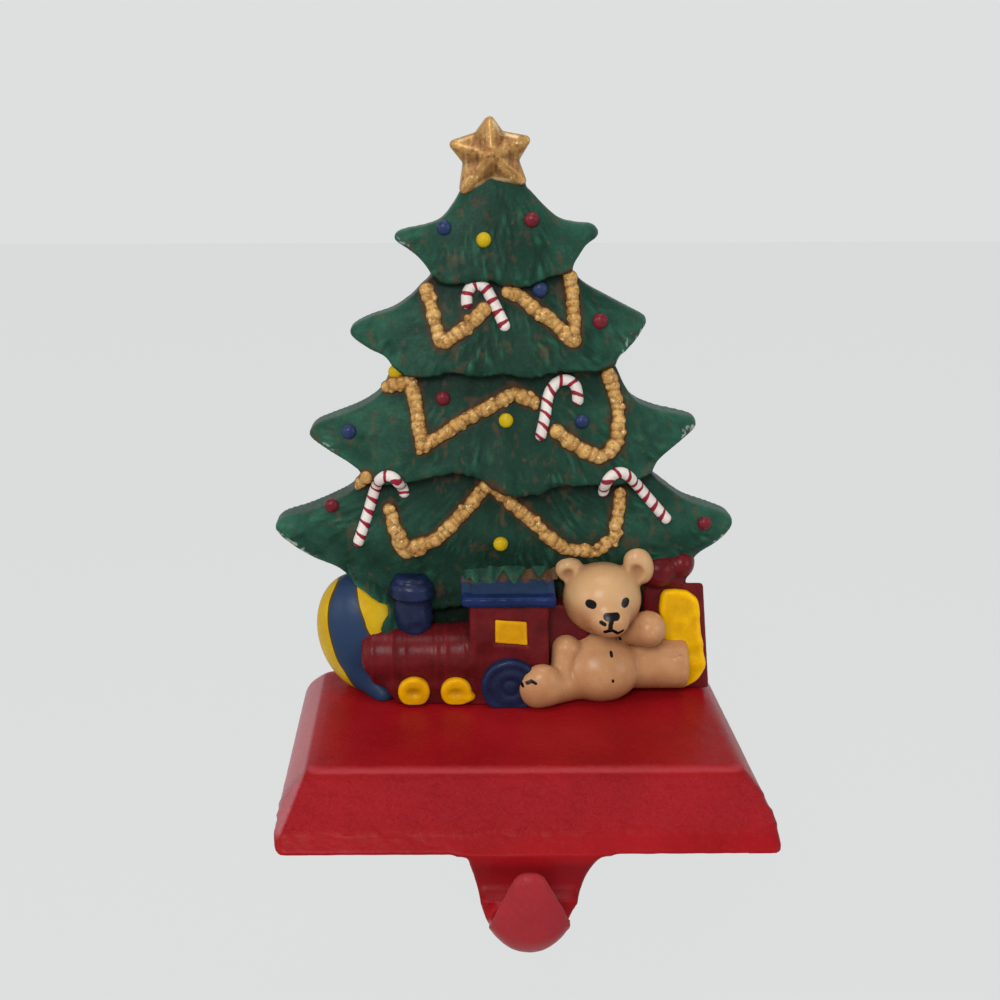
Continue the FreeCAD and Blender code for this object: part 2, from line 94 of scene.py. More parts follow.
def noiseGrid(u, v, seed):
    # Smooth random values from -1 to 1 over two coordinates, one cell to a unit
    table = np.random.default_rng(seed).uniform(-1, 1, (256, 256))
    iu, iv = np.floor(u).astype(int), np.floor(v).astype(int)
    fu, fv = u - iu, v - iv
    fu, fv = fu * fu * (3 - 2 * fu), fv * fv * (3 - 2 * fv)
    iu, iv = iu % 256, iv % 256
    ju, jv = (iu + 1) % 256, (iv + 1) % 256
    low = table[iu, iv] * (1 - fu) + table[ju, iv] * fu
    high = table[iu, jv] * (1 - fu) + table[ju, jv] * fu
    return low * (1 - fv) + high * fv


def between(a, b, c, d, t):
    # Smooth step from b to c, led in from a and out to d
    return 0.5 * (2 * b + (c - a) * t + (2 * a - 5 * b + 4 * c - d) * t * t
                  + (3 * b - a - 3 * c + d) * t ** 3)


def curveThrough(points, steps=6):
    # Points on a smooth line through the given ones
    p = [points[0]] + list(points) + [points[-1]]
    line = []
    for four in zip(p, p[1:], p[2:], p[3:]):
        for k in range(steps):
            line.append(tuple(between(*values, k / steps) for values in zip(*four)))
    line.append(tuple(points[-1]))
    return line


def lineDistance(points, x, z):
    # Distance in the front view to a line of straight runs
    best = np.full(x.shape, 1e9)
    for (ax, az), (bx, bz) in zip(points, points[1:]):
        dx, dz = bx - ax, bz - az
        t = np.clip(((x - ax) * dx + (z - az) * dz) / max(dx * dx + dz * dz, 1e-9), 0, 1)
        best = np.minimum(best, (x - ax - t * dx) ** 2 + (z - az - t * dz) ** 2)
    return np.sqrt(best)


def outlineDistance(points, x, z):
    # Signed distance to a closed outline seen from the front, less than zero inside
    closed = list(points) + [points[0]]
    inside = np.zeros(x.shape, bool)
    for (ax, az), (bx, bz) in zip(closed, closed[1:]):
        crosses = (az > z) != (bz > z)
        at = (bx - ax) * (z - az) / (bz - az if bz != az else 1e-9) + ax
        inside ^= crosses & (x < at)
    return np.where(inside, -1, 1) * lineDistance(closed, x, z)


def ball(x, y, z, centre, radii, lean=0.0):
    # Field of an egg-shaped lump, leaned about the axis that points out of the figure
    dx, dy, dz = x - centre[0], y - centre[1], z - centre[2]
    c, s = math.cos(math.radians(lean)), math.sin(math.radians(lean))
    dx, dz = dx * c - dz * s, dx * s + dz * c
    k = np.sqrt((dx / radii[0]) ** 2 + (dy / radii[1]) ** 2 + (dz / radii[2]) ** 2)
    return (k - 1) * min(radii)


def capsule(x, y, z, a, b, ra, rb):
    # Field of a limb that tapers from radius ra at a to rb at b
    run = [b[i] - a[i] for i in range(3)]
    dx, dy, dz = x - a[0], y - a[1], z - a[2]
    t = np.clip((dx * run[0] + dy * run[1] + dz * run[2]) / sum(v * v for v in run), 0, 1)
    gap = np.sqrt((dx - t * run[0]) ** 2 + (dy - t * run[1]) ** 2 + (dz - t * run[2]) ** 2)
    return gap - (ra + (rb - ra) * t)


def roundBox(x, y, z, low, high, r):
    # Field of a block with rounded edges
    q = [np.abs(v - (l + h) / 2) - (h - l) / 2 + r for v, l, h in zip((x, y, z), low, high)]
    out = np.sqrt(sum(np.maximum(v, 0) ** 2 for v in q))
    return out + np.minimum(np.maximum(np.maximum(q[0], q[1]), q[2]), 0) - r


def fieldMesh(name, field, low, high, step):
    # Closed mesh of the place where a field is less than zero
    if isinstance(step, (int, float)):
        step = (step, step, step)
    axes = [np.arange(l - 2 * s, h + 3 * s, s) for l, h, s in zip(low, high, step)]
    x, y, z = np.meshgrid(*axes, indexing="ij", sparse=True)
    values = np.ascontiguousarray(np.broadcast_to(field(x, y, z), [len(a) for a in axes]), dtype=np.float32)
    grid = openvdb.FloatGrid(background=3.0)
    grid.copyFromArray(np.clip(values, -3, 3))
    grid.gridClass = openvdb.GridClass.LEVEL_SET
    points, triangles, quads = grid.convertToPolygons(isovalue=0.0, adaptivity=0.0)
    points = points * np.array(step) + np.array([a[0] for a in axes])
    mesh = bpy.data.meshes.new(name)
    faces = [tuple(q[::-1]) for q in quads] + [tuple(t[::-1]) for t in triangles]
    mesh.from_pydata(points * mm, [], faces)
    return finishMesh(name, mesh)


def placed(name, data):
    # A new object in the scene
    made = bpy.data.objects.new(name, data)
    bpy.context.scene.collection.objects.link(made)
    return made


def finishMesh(name, mesh, sharp=50):
    mesh.update()
    mesh.validate()
    mesh.shade_smooth()
    if sharp:
        mesh.set_sharp_from_angle(angle=math.radians(sharp))
    return placed(name, mesh)


def places(piece):
    # Points of a mesh in millimetres
    co = np.zeros(len(piece.data.vertices) * 3)
    piece.data.vertices.foreach_get("co", co)
    return co.reshape(-1, 3) / mm


def store(piece, name, values):
    # A value for each point, which the material reads by its name
    made = piece.data.attributes.new(name, "FLOAT", "POINT")
    made.data.foreach_set("value", np.asarray(values, dtype=np.float32))


def facing(piece):
    # Which way each point of a mesh faces
    values = np.zeros(len(piece.data.vertices) * 3)
    piece.data.vertices.foreach_get("normal", values)
    return values.reshape(-1, 3)


def cavity(piece, rounds=6):
    # How far each point lies in a hollow: the paints lay brown wash, and on some pieces painted shade, where
    # this is above zero
    mesh = piece.data
    count = len(mesh.vertices)
    co = places(piece)
    pairs = np.zeros(len(mesh.edges) * 2, int)
    mesh.edges.foreach_get("vertices", pairs)
    a, b = pairs.reshape(-1, 2).T
    degree = np.bincount(a, minlength=count) + np.bincount(b, minlength=count)
    smooth = co.copy()
    for _ in range(rounds):
        total = np.stack([np.bincount(a, smooth[b, k], count) + np.bincount(b, smooth[a, k], count)
                          for k in range(3)], 1)
        smooth = 0.4 * smooth + 0.6 * total / np.maximum(degree, 1)[:, None]
    return np.einsum("ij,ij->i", smooth - co, facing(piece))


def dress(piece, material, node="tree_figure"):
    piece.data.materials.clear()
    piece.data.materials.append(material)
    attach(piece, "root")
    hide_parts(node)
    print(piece.name, len(piece.data.polygons), "faces")
    return piece


# Paints
def emptyMaterial(name):
    material = bpy.data.materials.new(name)
    material.use_nodes = True
    material.node_tree.nodes.clear()
    return material, material.node_tree


def paint(name, base, dark, light, look):
    # A hand-brushed coat: colour drifts between three tones, with brush lines, dimples and specks
    material, tree = emptyMaterial(name)
    place = node(tree, "ShaderNodeTexCoord", (-9, 0)).outputs["Object"]
    drift = node(tree, "ShaderNodeTexNoise", (-7, 0), None,
                 {"Vector": place, "Scale": 1 / (look.get("driftSize", 6) * mm),
                  "Detail": 3.0, "Roughness": 0.6}).outputs["Fac"]
    grain = node(tree, "ShaderNodeTexNoise", (-7, 2), None,
                 {"Vector": place, "Scale": 1 / (look.get("grainSize", 0.9) * mm),
                  "Detail": 4.0, "Roughness": 0.65}).outputs["Fac"]
    tone = node(tree, "ShaderNodeMapRange", (-5, 0), None,
                {"Value": drift, "From Min": 0.35, "From Max": 0.68})
    mixed = node(tree, "ShaderNodeMix", (-4, 0), {"data_type": "RGBA"},
                 {"Factor": tone.outputs["Result"], "A": linear(dark), "B": linear(base)})
    top = node(tree, "ShaderNodeMapRange", (-5, 1), None,
               {"Value": grain, "From Min": 0.55, "From Max": 0.8, "To Max": look.get("lightShare", 0.5)})
    colour = node(tree, "ShaderNodeMix", (-3, 0), {"data_type": "RGBA"},
                  {"Factor": top.outputs["Result"], "A": mixed.outputs["Result"], "B": linear(light)})
    coats = []
    for order, (attribute, start, end, share, hexColour) in enumerate(look.get("layers", [])):
        # Each layer is a paint laid where a stored value runs from start to end
        value = node(tree, "ShaderNodeAttribute", (-3, 3 + order), {"attribute_name": attribute})
        ragged = node(tree, "ShaderNodeMath", (-2, 3 + order), {"operation": "MULTIPLY_ADD"},
                      {0: grain, 1: look.get("ragged", 0.3) * (1 if end > start else -1),
                       2: value.outputs["Fac"]})
        amount = node(tree, "ShaderNodeMapRange", (-1, 3 + order), None,
                      {"Value": ragged.outputs[0], "From Min": start, "From Max": end, "To Max": share})
        coats.append((amount, hexColour))
    for size, start, share, hexColour, stretch in look.get("spots", []):
        # Worn or dabbed spots of another colour, drawn out upwards by the stretch
        long = node(tree, "ShaderNodeVectorMath", (-4, 7), {"operation": "MULTIPLY"},
                    {0: place, 1: (1.0, 1.0, 1 / stretch)})
        dab = node(tree, "ShaderNodeTexNoise", (-3, 7), None,
                   {"Vector": long.outputs[0], "Scale": 1 / (size * mm), "Detail": 2.5, "Roughness": 0.6})
        amount = node(tree, "ShaderNodeMapRange", (-1, 7), None,
                      {"Value": dab.outputs["Fac"], "From Min": start, "From Max": start + 0.1,
                       "To Max": share})
        coats.append((amount, hexColour))
    for order, (amount, hexColour) in enumerate(coats):
        colour = node(tree, "ShaderNodeMix", (0, order), {"data_type": "RGBA"},
                      {"Factor": amount.outputs["Result"], "A": colour.outputs["Result"],
                       "B": linear(hexColour)})
    rough = look.get("rough", 0.4)
    gloss = node(tree, "ShaderNodeMapRange", (0, 5), None,
                 {"Value": grain, "From Min": 0.3, "From Max": 0.7,
                  "To Min": rough - 0.06, "To Max": rough + 0.1})
    height = grain
    if "bumpBy" in look:                                 # the grain stands out where a stored value is high
        value = node(tree, "ShaderNodeAttribute", (-1, 9), {"attribute_name": look["bumpBy"]})
        height = node(tree, "ShaderNodeMath", (0, 9), {"operation": "MULTIPLY"},
                      {0: grain, 1: value.outputs["Fac"]}).outputs[0]
    bump = node(tree, "ShaderNodeBump", (1, 6), None,
                {"Strength": look.get("bump", 0.25), "Distance": look.get("bumpDepth", 0.15) * mm,
                 "Height": height})
    shader = node(tree, "ShaderNodeBsdfPrincipled", (2, 0), None,
                  {"Base Color": colour.outputs["Result"], "Roughness": gloss.outputs["Result"],
                   "Normal": bump.outputs["Normal"], "Metallic": look.get("metallic", 0.0),
                   "Specular IOR Level": look.get("shine", 0.14)})
    node(tree, "ShaderNodeOutputMaterial", (4, 0), None, {"Surface": shader.outputs["BSDF"]})
    return material


# The tree
treeShape = {
    "axisX": -1.6, "axisLean": -0.036, "leftEnd": -58.35, "coreDepth": 9.0, "coreRound": 1.5, "fanTop": 6,
    "waist": [7.2, 8.6, 10.4, 12.2], "hemDepth": [12.8, 15.4, 17.8, 18.6],
    "edge": 0.34, "edgeRound": 1.8, "recede": (58.0, 42.0, 0.44), "lobe": 0.35,
    "strokeWidth": 0.85, "strokeLength": 3.2, "strokeDepth": 0.22, "hemRagged": 0.45, "hemShade": 9.0,
    "foldWidth": 5.0, "foldDepth": 0.4, "step": (0.47, 0.9, 0.47),
}
leftSides = [
    [(-12.5, 139), (-13.6, 135.2), (-15.4, 131.8), (-18.1, 128.6), (-21.5, 127.2), (-26.7, 126.1),
     (-28.6, 125.0), (-28.5, 123.6), (-25.9, 122.0), (-23.4, 120.2), (-21.4, 118.0), (-20.3, 116.2)],
    [(-19.5, 118.5), (-20.9, 115.3), (-22.8, 113.6), (-25.1, 111.2), (-29.3, 108.4), (-34.5, 106.6),
     (-38.4, 104.6), (-39.3, 102.9), (-38.2, 101.5), (-34.5, 99.4), (-31.2, 98.0), (-29.4, 95.9)],
    [(-28.4, 98.0), (-30.6, 92.5), (-32.6, 89.0), (-37.1, 85.9), (-43.0, 83.5), (-47.6, 81.6), (-49.3, 79.6),
     (-48.6, 78.1), (-44.5, 75.7), (-40.6, 73.6), (-37.6, 71.6), (-36.9, 70.0)],
    [(-35.8, 73.0), (-37.6, 68.5), (-40.0, 65.4), (-44.4, 63.0), (-50.5, 60.4), (-56.0, 58.6), (-58.3, 56.6),
     (-57.8, 54.6), (-53.6, 51.2), (-48.6, 48.2), (-43.8, 46.0), (-41.0, 43.4)],
]
rightSides = [
    [(-0.5, 139), (1.8, 135.0), (5.3, 131.2), (8.9, 128.5), (12.6, 127.6), (16.2, 127.2), (17.6, 125.9),
     (17.2, 124.3), (14.8, 122.7), (13.2, 120.6), (11.9, 118.6), (11.5, 116.8)],
    [(10.8, 119.0), (12.6, 116.2), (15.1, 113.8), (20.0, 111.1), (25.4, 108.3), (29.0, 106.4), (29.6, 105.2),
     (28.6, 103.8), (26.9, 101.5), (24.8, 99.5), (22.6, 97.6), (21.9, 95.9)],
    [(21.0, 98.0), (22.8, 94.3), (24.6, 90.6), (27.5, 87.1), (32.5, 84.9), (38.0, 83.6), (41.8, 82.4),
     (42.0, 80.5), (38.4, 77.8), (34.9, 75.4), (32.2, 73.2), (31.0, 70.6)],
    [(30.0, 73.0), (32.4, 69.0), (35.6, 66.3), (40.4, 62.9), (46.6, 60.6), (51.2, 58.7), (52.2, 57.0),
     (51.3, 54.9), (48.4, 52.2), (44.6, 49.7), (43.0, 47.6), (42.6, 45.0)],
]
hems = [
    [(-20.3, 116.2), (-17.6, 114.4), (-12.2, 114.7), (-7.6, 115.0), (-4.2, 114.4), (-0.7, 113.6),
     (2.6, 114.4), (6.6, 115.8), (11.5, 116.8)],
    [(-29.4, 95.9), (-26.3, 93.9), (-21.6, 93.7), (-15.7, 94.6), (-9.9, 93.8), (-4.0, 94.2), (1.4, 93.2),
     (6.0, 94.5), (11.7, 94.8), (17.0, 94.6), (21.9, 95.9)],
    [(-36.9, 70.0), (-31.5, 68.6), (-25.8, 69.2), (-19.9, 70.4), (-14.9, 71.4), (-9.6, 70.2), (-5.6, 67.7),
     (0.1, 66.3), (5.3, 67.0), (8.8, 68.8), (15.6, 68.4), (21.6, 68.4), (26.4, 69.0), (31.0, 70.6)],
    [(-41.0, 43.4), (-38.5, 40.6), (-33.5, 38.5), (-27.5, 36.5), (-18.0, 35.5), (-12.5, 37.5), (-8.9, 40.4),
     (-5.6, 43.6), (-2.6, 41.6), (1.6, 43.8), (6.6, 44.6), (12.0, 42.0), (20.0, 40.5), (30.0, 40.5),
     (38.0, 42.5), (42.6, 45.0)],
]


def treeAxis(z):
    return treeShape["axisX"] + treeShape["axisLean"] * (z - seat)


def fromTop(tier, x, z):
    # Turn and distance from the point over the tier where its needles start
    drop = (leftSides[tier][0][1] + treeShape["fanTop"]) - z
    return np.arctan2(x - treeAxis(z), drop), np.hypot(x - treeAxis(z), drop)


def tierDepth(tier, x, z):
    # How far one tier of boughs stands out from the back, with its folds and needles
    shape = treeShape
    hemX, hemZ = zip(*curveThrough(hems[tier], 3))
    left, right = leftSides[tier], rightSides[tier]
    top = left[0][1]
    hem = np.interp(x, hemX, hemZ)
    middle = float(np.mean(hemZ))
    drop = np.clip((top - z) / (top - np.minimum(hem, z + 30)), 0, 1)
    tipHalf = (max(p[0] for p in right) - min(p[0] for p in left)) / 2 * 1.04
    tipZ = (min(left)[1] + max(right)[1]) / 2
    topHalf = (right[0][0] - left[0][0]) / 2 * 1.25
    half = topHalf + (tipHalf - topHalf) * np.clip((top - z) / (top - tipZ), 0, 1) ** 0.85
    u = np.clip((x - treeAxis(z)) / half, -1, 1)
    depth = shape["waist"][tier] + (shape["hemDepth"][tier] - shape["waist"][tier]) * drop ** 1.1
    if tier == 3:                                       # the lowest boughs fall back behind the toys
        start, end, share = shape["recede"]
        back = np.clip((start - z) / (start - end), 0, 1)
        depth = depth * (1 - share * back * back * (3 - 2 * back))
    section = shape["edge"] + (1 - shape["edge"]) * np.sqrt(1 - u * u)
    span = top + shape["fanTop"] - middle
    turn = fromTop(tier, x, z)[0] * span / shape["foldWidth"]
    fold = noiseGrid(turn + 40, (top - z) / 40 + 3 + tier, 11 + tier) * shape["foldDepth"]
    lobe = np.clip(middle - hem, -2, 4) * shape["lobe"]
    stroke = needles(tier, x, z) * shape["strokeDepth"]
    return depth * section + drop * (fold + lobe) + stroke * (0.35 + 0.65 * drop)


def needles(tier, x, z):
    # Long thin strokes that fan out from the top of the tier
    shape = treeShape
    angle, away = fromTop(tier, x, z)
    wave = noiseGrid(x / 6 + 50, z / 5 + 50, 5) * 1.5
    span = leftSides[tier][0][1] + shape["fanTop"] - hems[tier][4][1]
    turn = angle * span / shape["strokeWidth"] + wave
    coarse = noiseGrid(turn + 90, away / shape["strokeLength"] + 20, 21 + tier)
    fine = noiseGrid(turn * 2.1 + 30, away / (shape["strokeLength"] * 0.6) + 60, 31 + tier)
    patch = np.clip(0.5 + 1.2 * noiseGrid(x / 4 + 12, z / 5 + 12, 41), 0.05, 1.4)
    return (coarse * 0.75 + fine * 0.5) * patch


# Where the garlands run over the boughs, seen from the front
garlandRoutes = [
    [(-21.4, 113.2), (-20.2, 107.8), (-18.3, 101.5), (-15.1, 103.3), (-8.6, 108.8)],
    [(-3.0, 112.8), (0.4, 111.1), (6.3, 106.5), (11.8, 101.9), (11.9, 108.7), (10.9, 115.8)],
    [(-30.6, 91.2), (-25.2, 92.6), (-23.9, 87.6), (-22.7, 77.8), (-13.0, 84.0), (-1.4, 90.2), (3.0, 88.0)],
    [(20.3, 94.0), (22.5, 87.5), (22.6, 78.6), (18.7, 75.2), (12.4, 78.1), (8.2, 81.3)],
    [(-36.9, 68.9), (-35.7, 70.6)],
    [(-30.3, 62.6), (-27.8, 52.8), (-19.1, 55.8), (-7.1, 68.6), (2.4, 60.6), (11.1, 52.6), (18.2, 52.0),
     (22.3, 55.4), (23.8, 66.0)],
    [(-28.3, 56.6), (-26.9, 52.0), (-23.4, 53.2)],
]
coreOutline = [(-37, 13.8), (-38, 30), (-40.5, 44), (-20, 52), (0, 52), (20, 52), (41.5, 46), (36, 30),
               (34, 13.8)]


def treeField(x, y, z):
    shape = treeShape
    front = backPlane - y
    flatX, flatZ = frontView(x, z)
    total = None
    for tier in range(4):
        left = curveThrough(leftSides[tier], 5)
        right = curveThrough(rightSides[tier], 5)
        outline = left + curveThrough(hems[tier], 4)[1:-1] + right[::-1]
        side = outlineDistance(outline, flatX, flatZ)
        inner = np.clip(4 - 5 * np.abs(flatX - treeAxis(flatZ)) / right[-1][0], 0, 1)    # 1 over the hem
        side = side + inner * shape["hemRagged"] * noiseGrid(flatX / 1.1 + 60, flatZ / 3 + 60, 51)
        depth = tierDepth(tier, flatX, flatZ)[:, None, :]
        body = smoothMax(side[:, None, :], front - depth, shape["edgeRound"] * (1 + 0.5 * inner[:, None, :]))
        total = body if total is None else np.minimum(total, body)
    core = outlineDistance(coreOutline, flatX, flatZ)[:, None, :]
    core = smoothMax(core, front - shape["coreDepth"], shape["coreRound"])
    total = smoothMin(total, core, shape["coreRound"])
    return np.maximum(total, np.maximum(np.maximum(-front, seat + 0.05 - z), shape["leftEnd"] - x))


def surfaceY(x, z):
    # Where the front of the boughs is, at one place seen from the front
    px, pz = np.array([[float(x)]]), np.array([[float(z)]])
    deepest = treeShape["coreDepth"] if z < 44 else 3.0
    for tier in range(4):
        outline = leftSides[tier] + hems[tier][1:-1] + rightSides[tier][::-1]
        if outlineDistance(outline, px, pz)[0, 0] < 0:
            deepest = max(deepest, float(tierDepth(tier, px, pz)[0, 0]))
    return backPlane - deepest


print("making the tree")
treeBody = fieldMesh("tree_boughs", treeField, (-58.6, 36, 14), (52.5, 57, 139.5), treeShape["step"])
treeX, treeY, treeZ = places(treeBody).T
store(treeBody, "hollow", cavity(treeBody, 8))
treeStrokes = np.zeros(len(treeX))
hemShadePainted = np.zeros(len(treeX))
for tier in range(4):
    top, low = leftSides[tier][0][1] - 3, hems[tier][4][1]
    inTier = (treeZ <= top) & (treeZ > low - 3)
    treeStrokes[inTier] = needles(tier, treeX[inTier], treeZ[inTier])
    # painted shade: the boughs just below each hem are darkened
    if tier < 3:                                         # the next tier lies in the shade of this hem
        hem = np.interp(treeX, *zip(*hems[tier]))
        below = np.clip(1 - (hem - treeZ) / treeShape["hemShade"], 0, 1)
        behind = ramp(treeY, backPlane - treeShape["hemDepth"][tier] + 1.0, 1.5)
        hemShadePainted = np.maximum(hemShadePainted, below * behind * (treeZ < hem + 0.5))
store(treeBody, "stroke", treeStrokes)
store(treeBody, "under", hemShadePainted)
wornEdges = [
    [(-28.5, 123.8), (-23.4, 120.4)], [(29.4, 105.6), (25.0, 99.7), (22.4, 96.6)],
    [(-57.8, 56.4), (-50, 49.2)], [(42.0, 81.6), (38.4, 78.4)],
    [(-48.9, 79.4), (-45, 76.2)], [(51.8, 56.8), (48.4, 52.6)],
]
wornSizes = {"reach": 2.6, "speck": 0.75}
speck = noiseGrid((treeX + 0.8 * treeY) / wornSizes["speck"] + 80,
                  (treeZ - 0.6 * treeY) / wornSizes["speck"] + 80, 61)
chips = np.zeros(len(treeX))
for edge in wornEdges:
    near = np.clip(1 - lineDistance(edge, treeX, treeZ) / wornSizes["reach"], 0, 1)
    chips = np.maximum(chips, near * np.clip(speck * 2.6 - 0.7, 0, 1))
store(treeBody, "chips", chips * ramp(treeY, 53, -3))
washed = np.full(len(treeX), 99.0)
for route in garlandRoutes:
    washed = np.minimum(washed, lineDistance(route, treeX, treeZ))
store(treeBody, "wash", np.clip(1 - (washed - 1.5) / 1.6, 0, 1) * ramp(treeY, 54, -2))
# painted shade: near-black on the boughs deep behind the toys
shadeBehindToys = ramp(treeY, 44.5, 2) * ramp(treeZ, 43.5, -3) * ramp(treeY, backPlane - 0.6, -1)
store(treeBody, "deep", shadeBehindToys * ramp(treeX, -40, 3))
reach = np.interp(treeZ, [20, 56, 60, 80, 84, 104, 108, 125, 139], [40, 46, 34, 38, 26, 30, 20, 18, 6])
store(treeBody, "middle", np.clip(1.15 - np.abs(treeX - treeAxis(treeZ)) / reach, 0, 1))
greenPaint = paint("brushed green enamel on cast iron", "#2F5A48", "#1F4335", "#487D65", {
    "driftSize": 6, "grainSize": 0.8, "lightShare": 0.4, "rough": 0.36, "bump": 0.5, "bumpDepth": 0.2,
    "ragged": 0.3, "shine": 0.05,
    # painted shade: "under" below the hems, "deep" behind the toys and "hollow" in the creases
    "layers": [("middle", 0.3, 1.1, 0.65, "#182D23"), ("stroke", 0.25, 1.0, 0.35, "#34755A"),
               ("stroke", -0.2, -0.9, 0.4, "#152C22"), ("notch", 0.4, 0.9, 0.85, "#6B452B"),
               ("under", 0.1, 1.0, 0.8, "#0F1F19"), ("hollow", 0.02, 0.25, 0.6, "#12241D"),
               ("wash", 0.45, 1.1, 0.75, "#4A2E1E"), ("deep", 0.3, 1.1, 0.85, "#101814"),
               ("chips", 0.3, 0.8, 0.75, "#A9B0A4")],
    "spots": [(3.2, 0.57, 0.36, "#5C3E2E", 1.5), (1.3, 0.67, 0.42, "#6A4230", 1.8),
              (0.5, 0.76, 0.8, "#7E9A8A", 1.0)]})
dress(treeBody, greenPaint)


# The star
starShape = {
    "centre": (-7.1, 142.3), "centreDepth": 10.8, "tipDepth": 8.6, "notchDepth": 8.0, "lowest": 6.0,
    "edgeRound": 0.9, "round": 1.1, "backGap": 0.15, "step": 0.25,
    "tips": [(-7.4, 149.4), (-15.1, 144.5), (-12.9, 135.0), (-0.3, 136.9), (0.4, 145.4)],
    "notches": [(-9.8, 146.2), (-12.1, 140.9), (-7.1, 138.0), (-2.0, 141.3), (-5.1, 146.4)],
}
starRim = [point for pair in zip(starShape["tips"], starShape["notches"]) for point in pair]


def starDepth(x, z):
    # Ten flat facets: high along each point, low along each hollow
    shape = starShape
    cx, cz = shape["centre"]
    depths = [shape["tipDepth"], shape["notchDepth"]] * len(shape["tips"])
    rim = list(zip(starRim, depths))
    best = np.full(x.shape, shape["lowest"])
    for (a, da), (b, db) in zip(rim, rim[1:] + rim[:1]):
        det = (a[0] - cx) * (b[1] - cz) - (b[0] - cx) * (a[1] - cz)
        s = ((x - cx) * (b[1] - cz) - (b[0] - cx) * (z - cz)) / det
        t = ((a[0] - cx) * (z - cz) - (x - cx) * (a[1] - cz)) / det
        here = (s >= -1e-6) & (t >= -1e-6)
        facet = shape["centreDepth"] + s * (da - shape["centreDepth"]) + t * (db - shape["centreDepth"])
        best = np.where(here, facet, best)
    return best


def starField(x, y, z):
    front = backPlane - y
    flatX, flatZ = frontView(x, z)
    side = outlineDistance(starRim, flatX, flatZ) - starShape["round"]
    ripple = noiseGrid(flatX / 1.5, flatZ / 2.4, 8) * 0.22 + noiseGrid(flatX / 0.6, flatZ / 2.0, 9) * 0.07
    soft = starDepth(flatX, flatZ)
    for reach in (0.5, 0.9):
        soft = (soft + starDepth(flatX + reach, flatZ) + starDepth(flatX - reach, flatZ)
                + starDepth(flatX, flatZ + reach) + starDepth(flatX, flatZ - reach)) / 5
    body = smoothMax(side[:, None, :], front - (soft + ripple)[:, None, :], starShape["edgeRound"])
    return np.maximum(body, starShape["backGap"] - front)


print("making the star")
star = fieldMesh("star", starField, (-17, 45, 133), (2.5, 57, 151.5), starShape["step"])
store(star, "hollow", cavity(star, 14))
starX, _, starZ = places(star).T
# painted highlight: a pale cream line just inside the star's outline
fromRim = -outlineDistance(starRim, starX, starZ)
rimHighlight = np.clip(1.3 - np.abs(fromRim + 0.5) / 0.7, 0, 1)
store(star, "rim", rimHighlight * (0.5 + 0.5 * noiseGrid(starX / 2, starZ / 2, 14)))
goldLook = {
    "driftSize": 4, "grainSize": 0.6, "lightShare": 0.7, "rough": 0.33, "metallic": 0.3, "bump": 0.4,
    "shine": 0.3, "ragged": 0.12,
    # the "rim" layer is a painted highlight
    "layers": [("hollow", 0.01, 0.12, 0.95, "#5B3010"), ("rim", 0.4, 1.1, 0.7, "#E8D3A6")],
    "spots": [(1.8, 0.57, 0.7, "#70401A", 1.0), (0.6, 0.66, 0.5, "#EFDCB0", 1.0)]}
goldPaint = paint("brown-washed gold paint", "#B58B4F", "#976B35", "#EAD3A0", goldLook)
dress(star, goldPaint)


# Beaded garlands
garlandSizes = {"spacing": 1.55, "radius": 1.68, "knobs": 0.8, "knobShare": 0.45, "variation": 0.14,
                "scatter": (0.14, 0.68), "routeStep": 1.5, "sink": 0.1, "melt": 0.25, "soften": 6}


def routeCurve(name, route, step, lift):
    # A curve object that follows the boughs along straight runs
    curve = bpy.data.curves.new(name, "CURVE")
    curve.dimensions = "3D"
    points = []
    for (ax, az), (bx, bz) in zip(route, route[1:]):
        count = max(1, round(math.dist((ax, az), (bx, bz)) / step))
        for k in range(count):
            points.append((ax + (bx - ax) * k / count, az + (bz - az) * k / count))
    points.append(route[-1])
    heights = eased([surfaceY(x, z) for x, z in points])
    spline = curve.splines.new("POLY")
    spline.points.add(len(points) - 1)
    for point, (x, z), y in zip(spline.points, points, heights):
        point.co = (x * mm, (y - lift) * mm, z * mm, 1)
    return placed(name, curve)


def groupWith(name, sockets):
    # A geometry tree with its named inputs
    tree = bpy.data.node_groups.new(name, "GeometryNodeTree")
    tree.interface.new_socket("Geometry", in_out="INPUT", socket_type="NodeSocketGeometry")
    for label, kind, value in sockets:
        made = tree.interface.new_socket(label, in_out="INPUT", socket_type=kind)
        if value is not None:
            made.default_value = value
    tree.interface.new_socket("Geometry", in_out="OUTPUT", socket_type="NodeSocketGeometry")
    return tree


def settle(carrier, tree, values, name):
    # Runs a geometry tree on an object with its inputs set, and keeps the result as a plain mesh
    modifier = carrier.modifiers.new("made by nodes", "NODES")
    modifier.node_group = tree
    for item in tree.interface.items_tree:
        if item.item_type == "SOCKET" and item.in_out == "INPUT" and item.name in values:
            modifier[item.identifier] = values[item.name]
    bpy.context.view_layer.update()
    mesh = bpy.data.meshes.new_from_object(carrier.evaluated_get(bpy.context.evaluated_depsgraph_get()))
    carrier.modifiers.remove(modifier)
    bpy.data.objects.remove(carrier)
    return finishMesh(name, mesh)


def melt(piece, voxel, rounds):
    # Fuses overlapping lumps into one skin, as in a casting
    modifier = piece.modifiers.new("melt", "REMESH")
    modifier.mode = "VOXEL"
    modifier.voxel_size = voxel * mm
    modifier.use_smooth_shade = True
    softer = piece.modifiers.new("soften", "SMOOTH")
    softer.iterations = rounds
    mesh = bpy.data.meshes.new_from_object(piece.evaluated_get(bpy.context.evaluated_depsgraph_get()))
    piece.modifiers.clear()
    name = piece.name
    bpy.data.objects.remove(piece)
    return finishMesh(name, mesh)


def joined(objects, name):
    # One curve object out of several
    first = objects[0]
    for other in objects[1:]:
        for spline in other.data.splines:
            copy = first.data.splines.new("POLY")
            copy.points.add(len(spline.points) - 1)
            for a, b in zip(copy.points, spline.points):
                a.co = b.co
        bpy.data.objects.remove(other)
    first.name = name
    return first


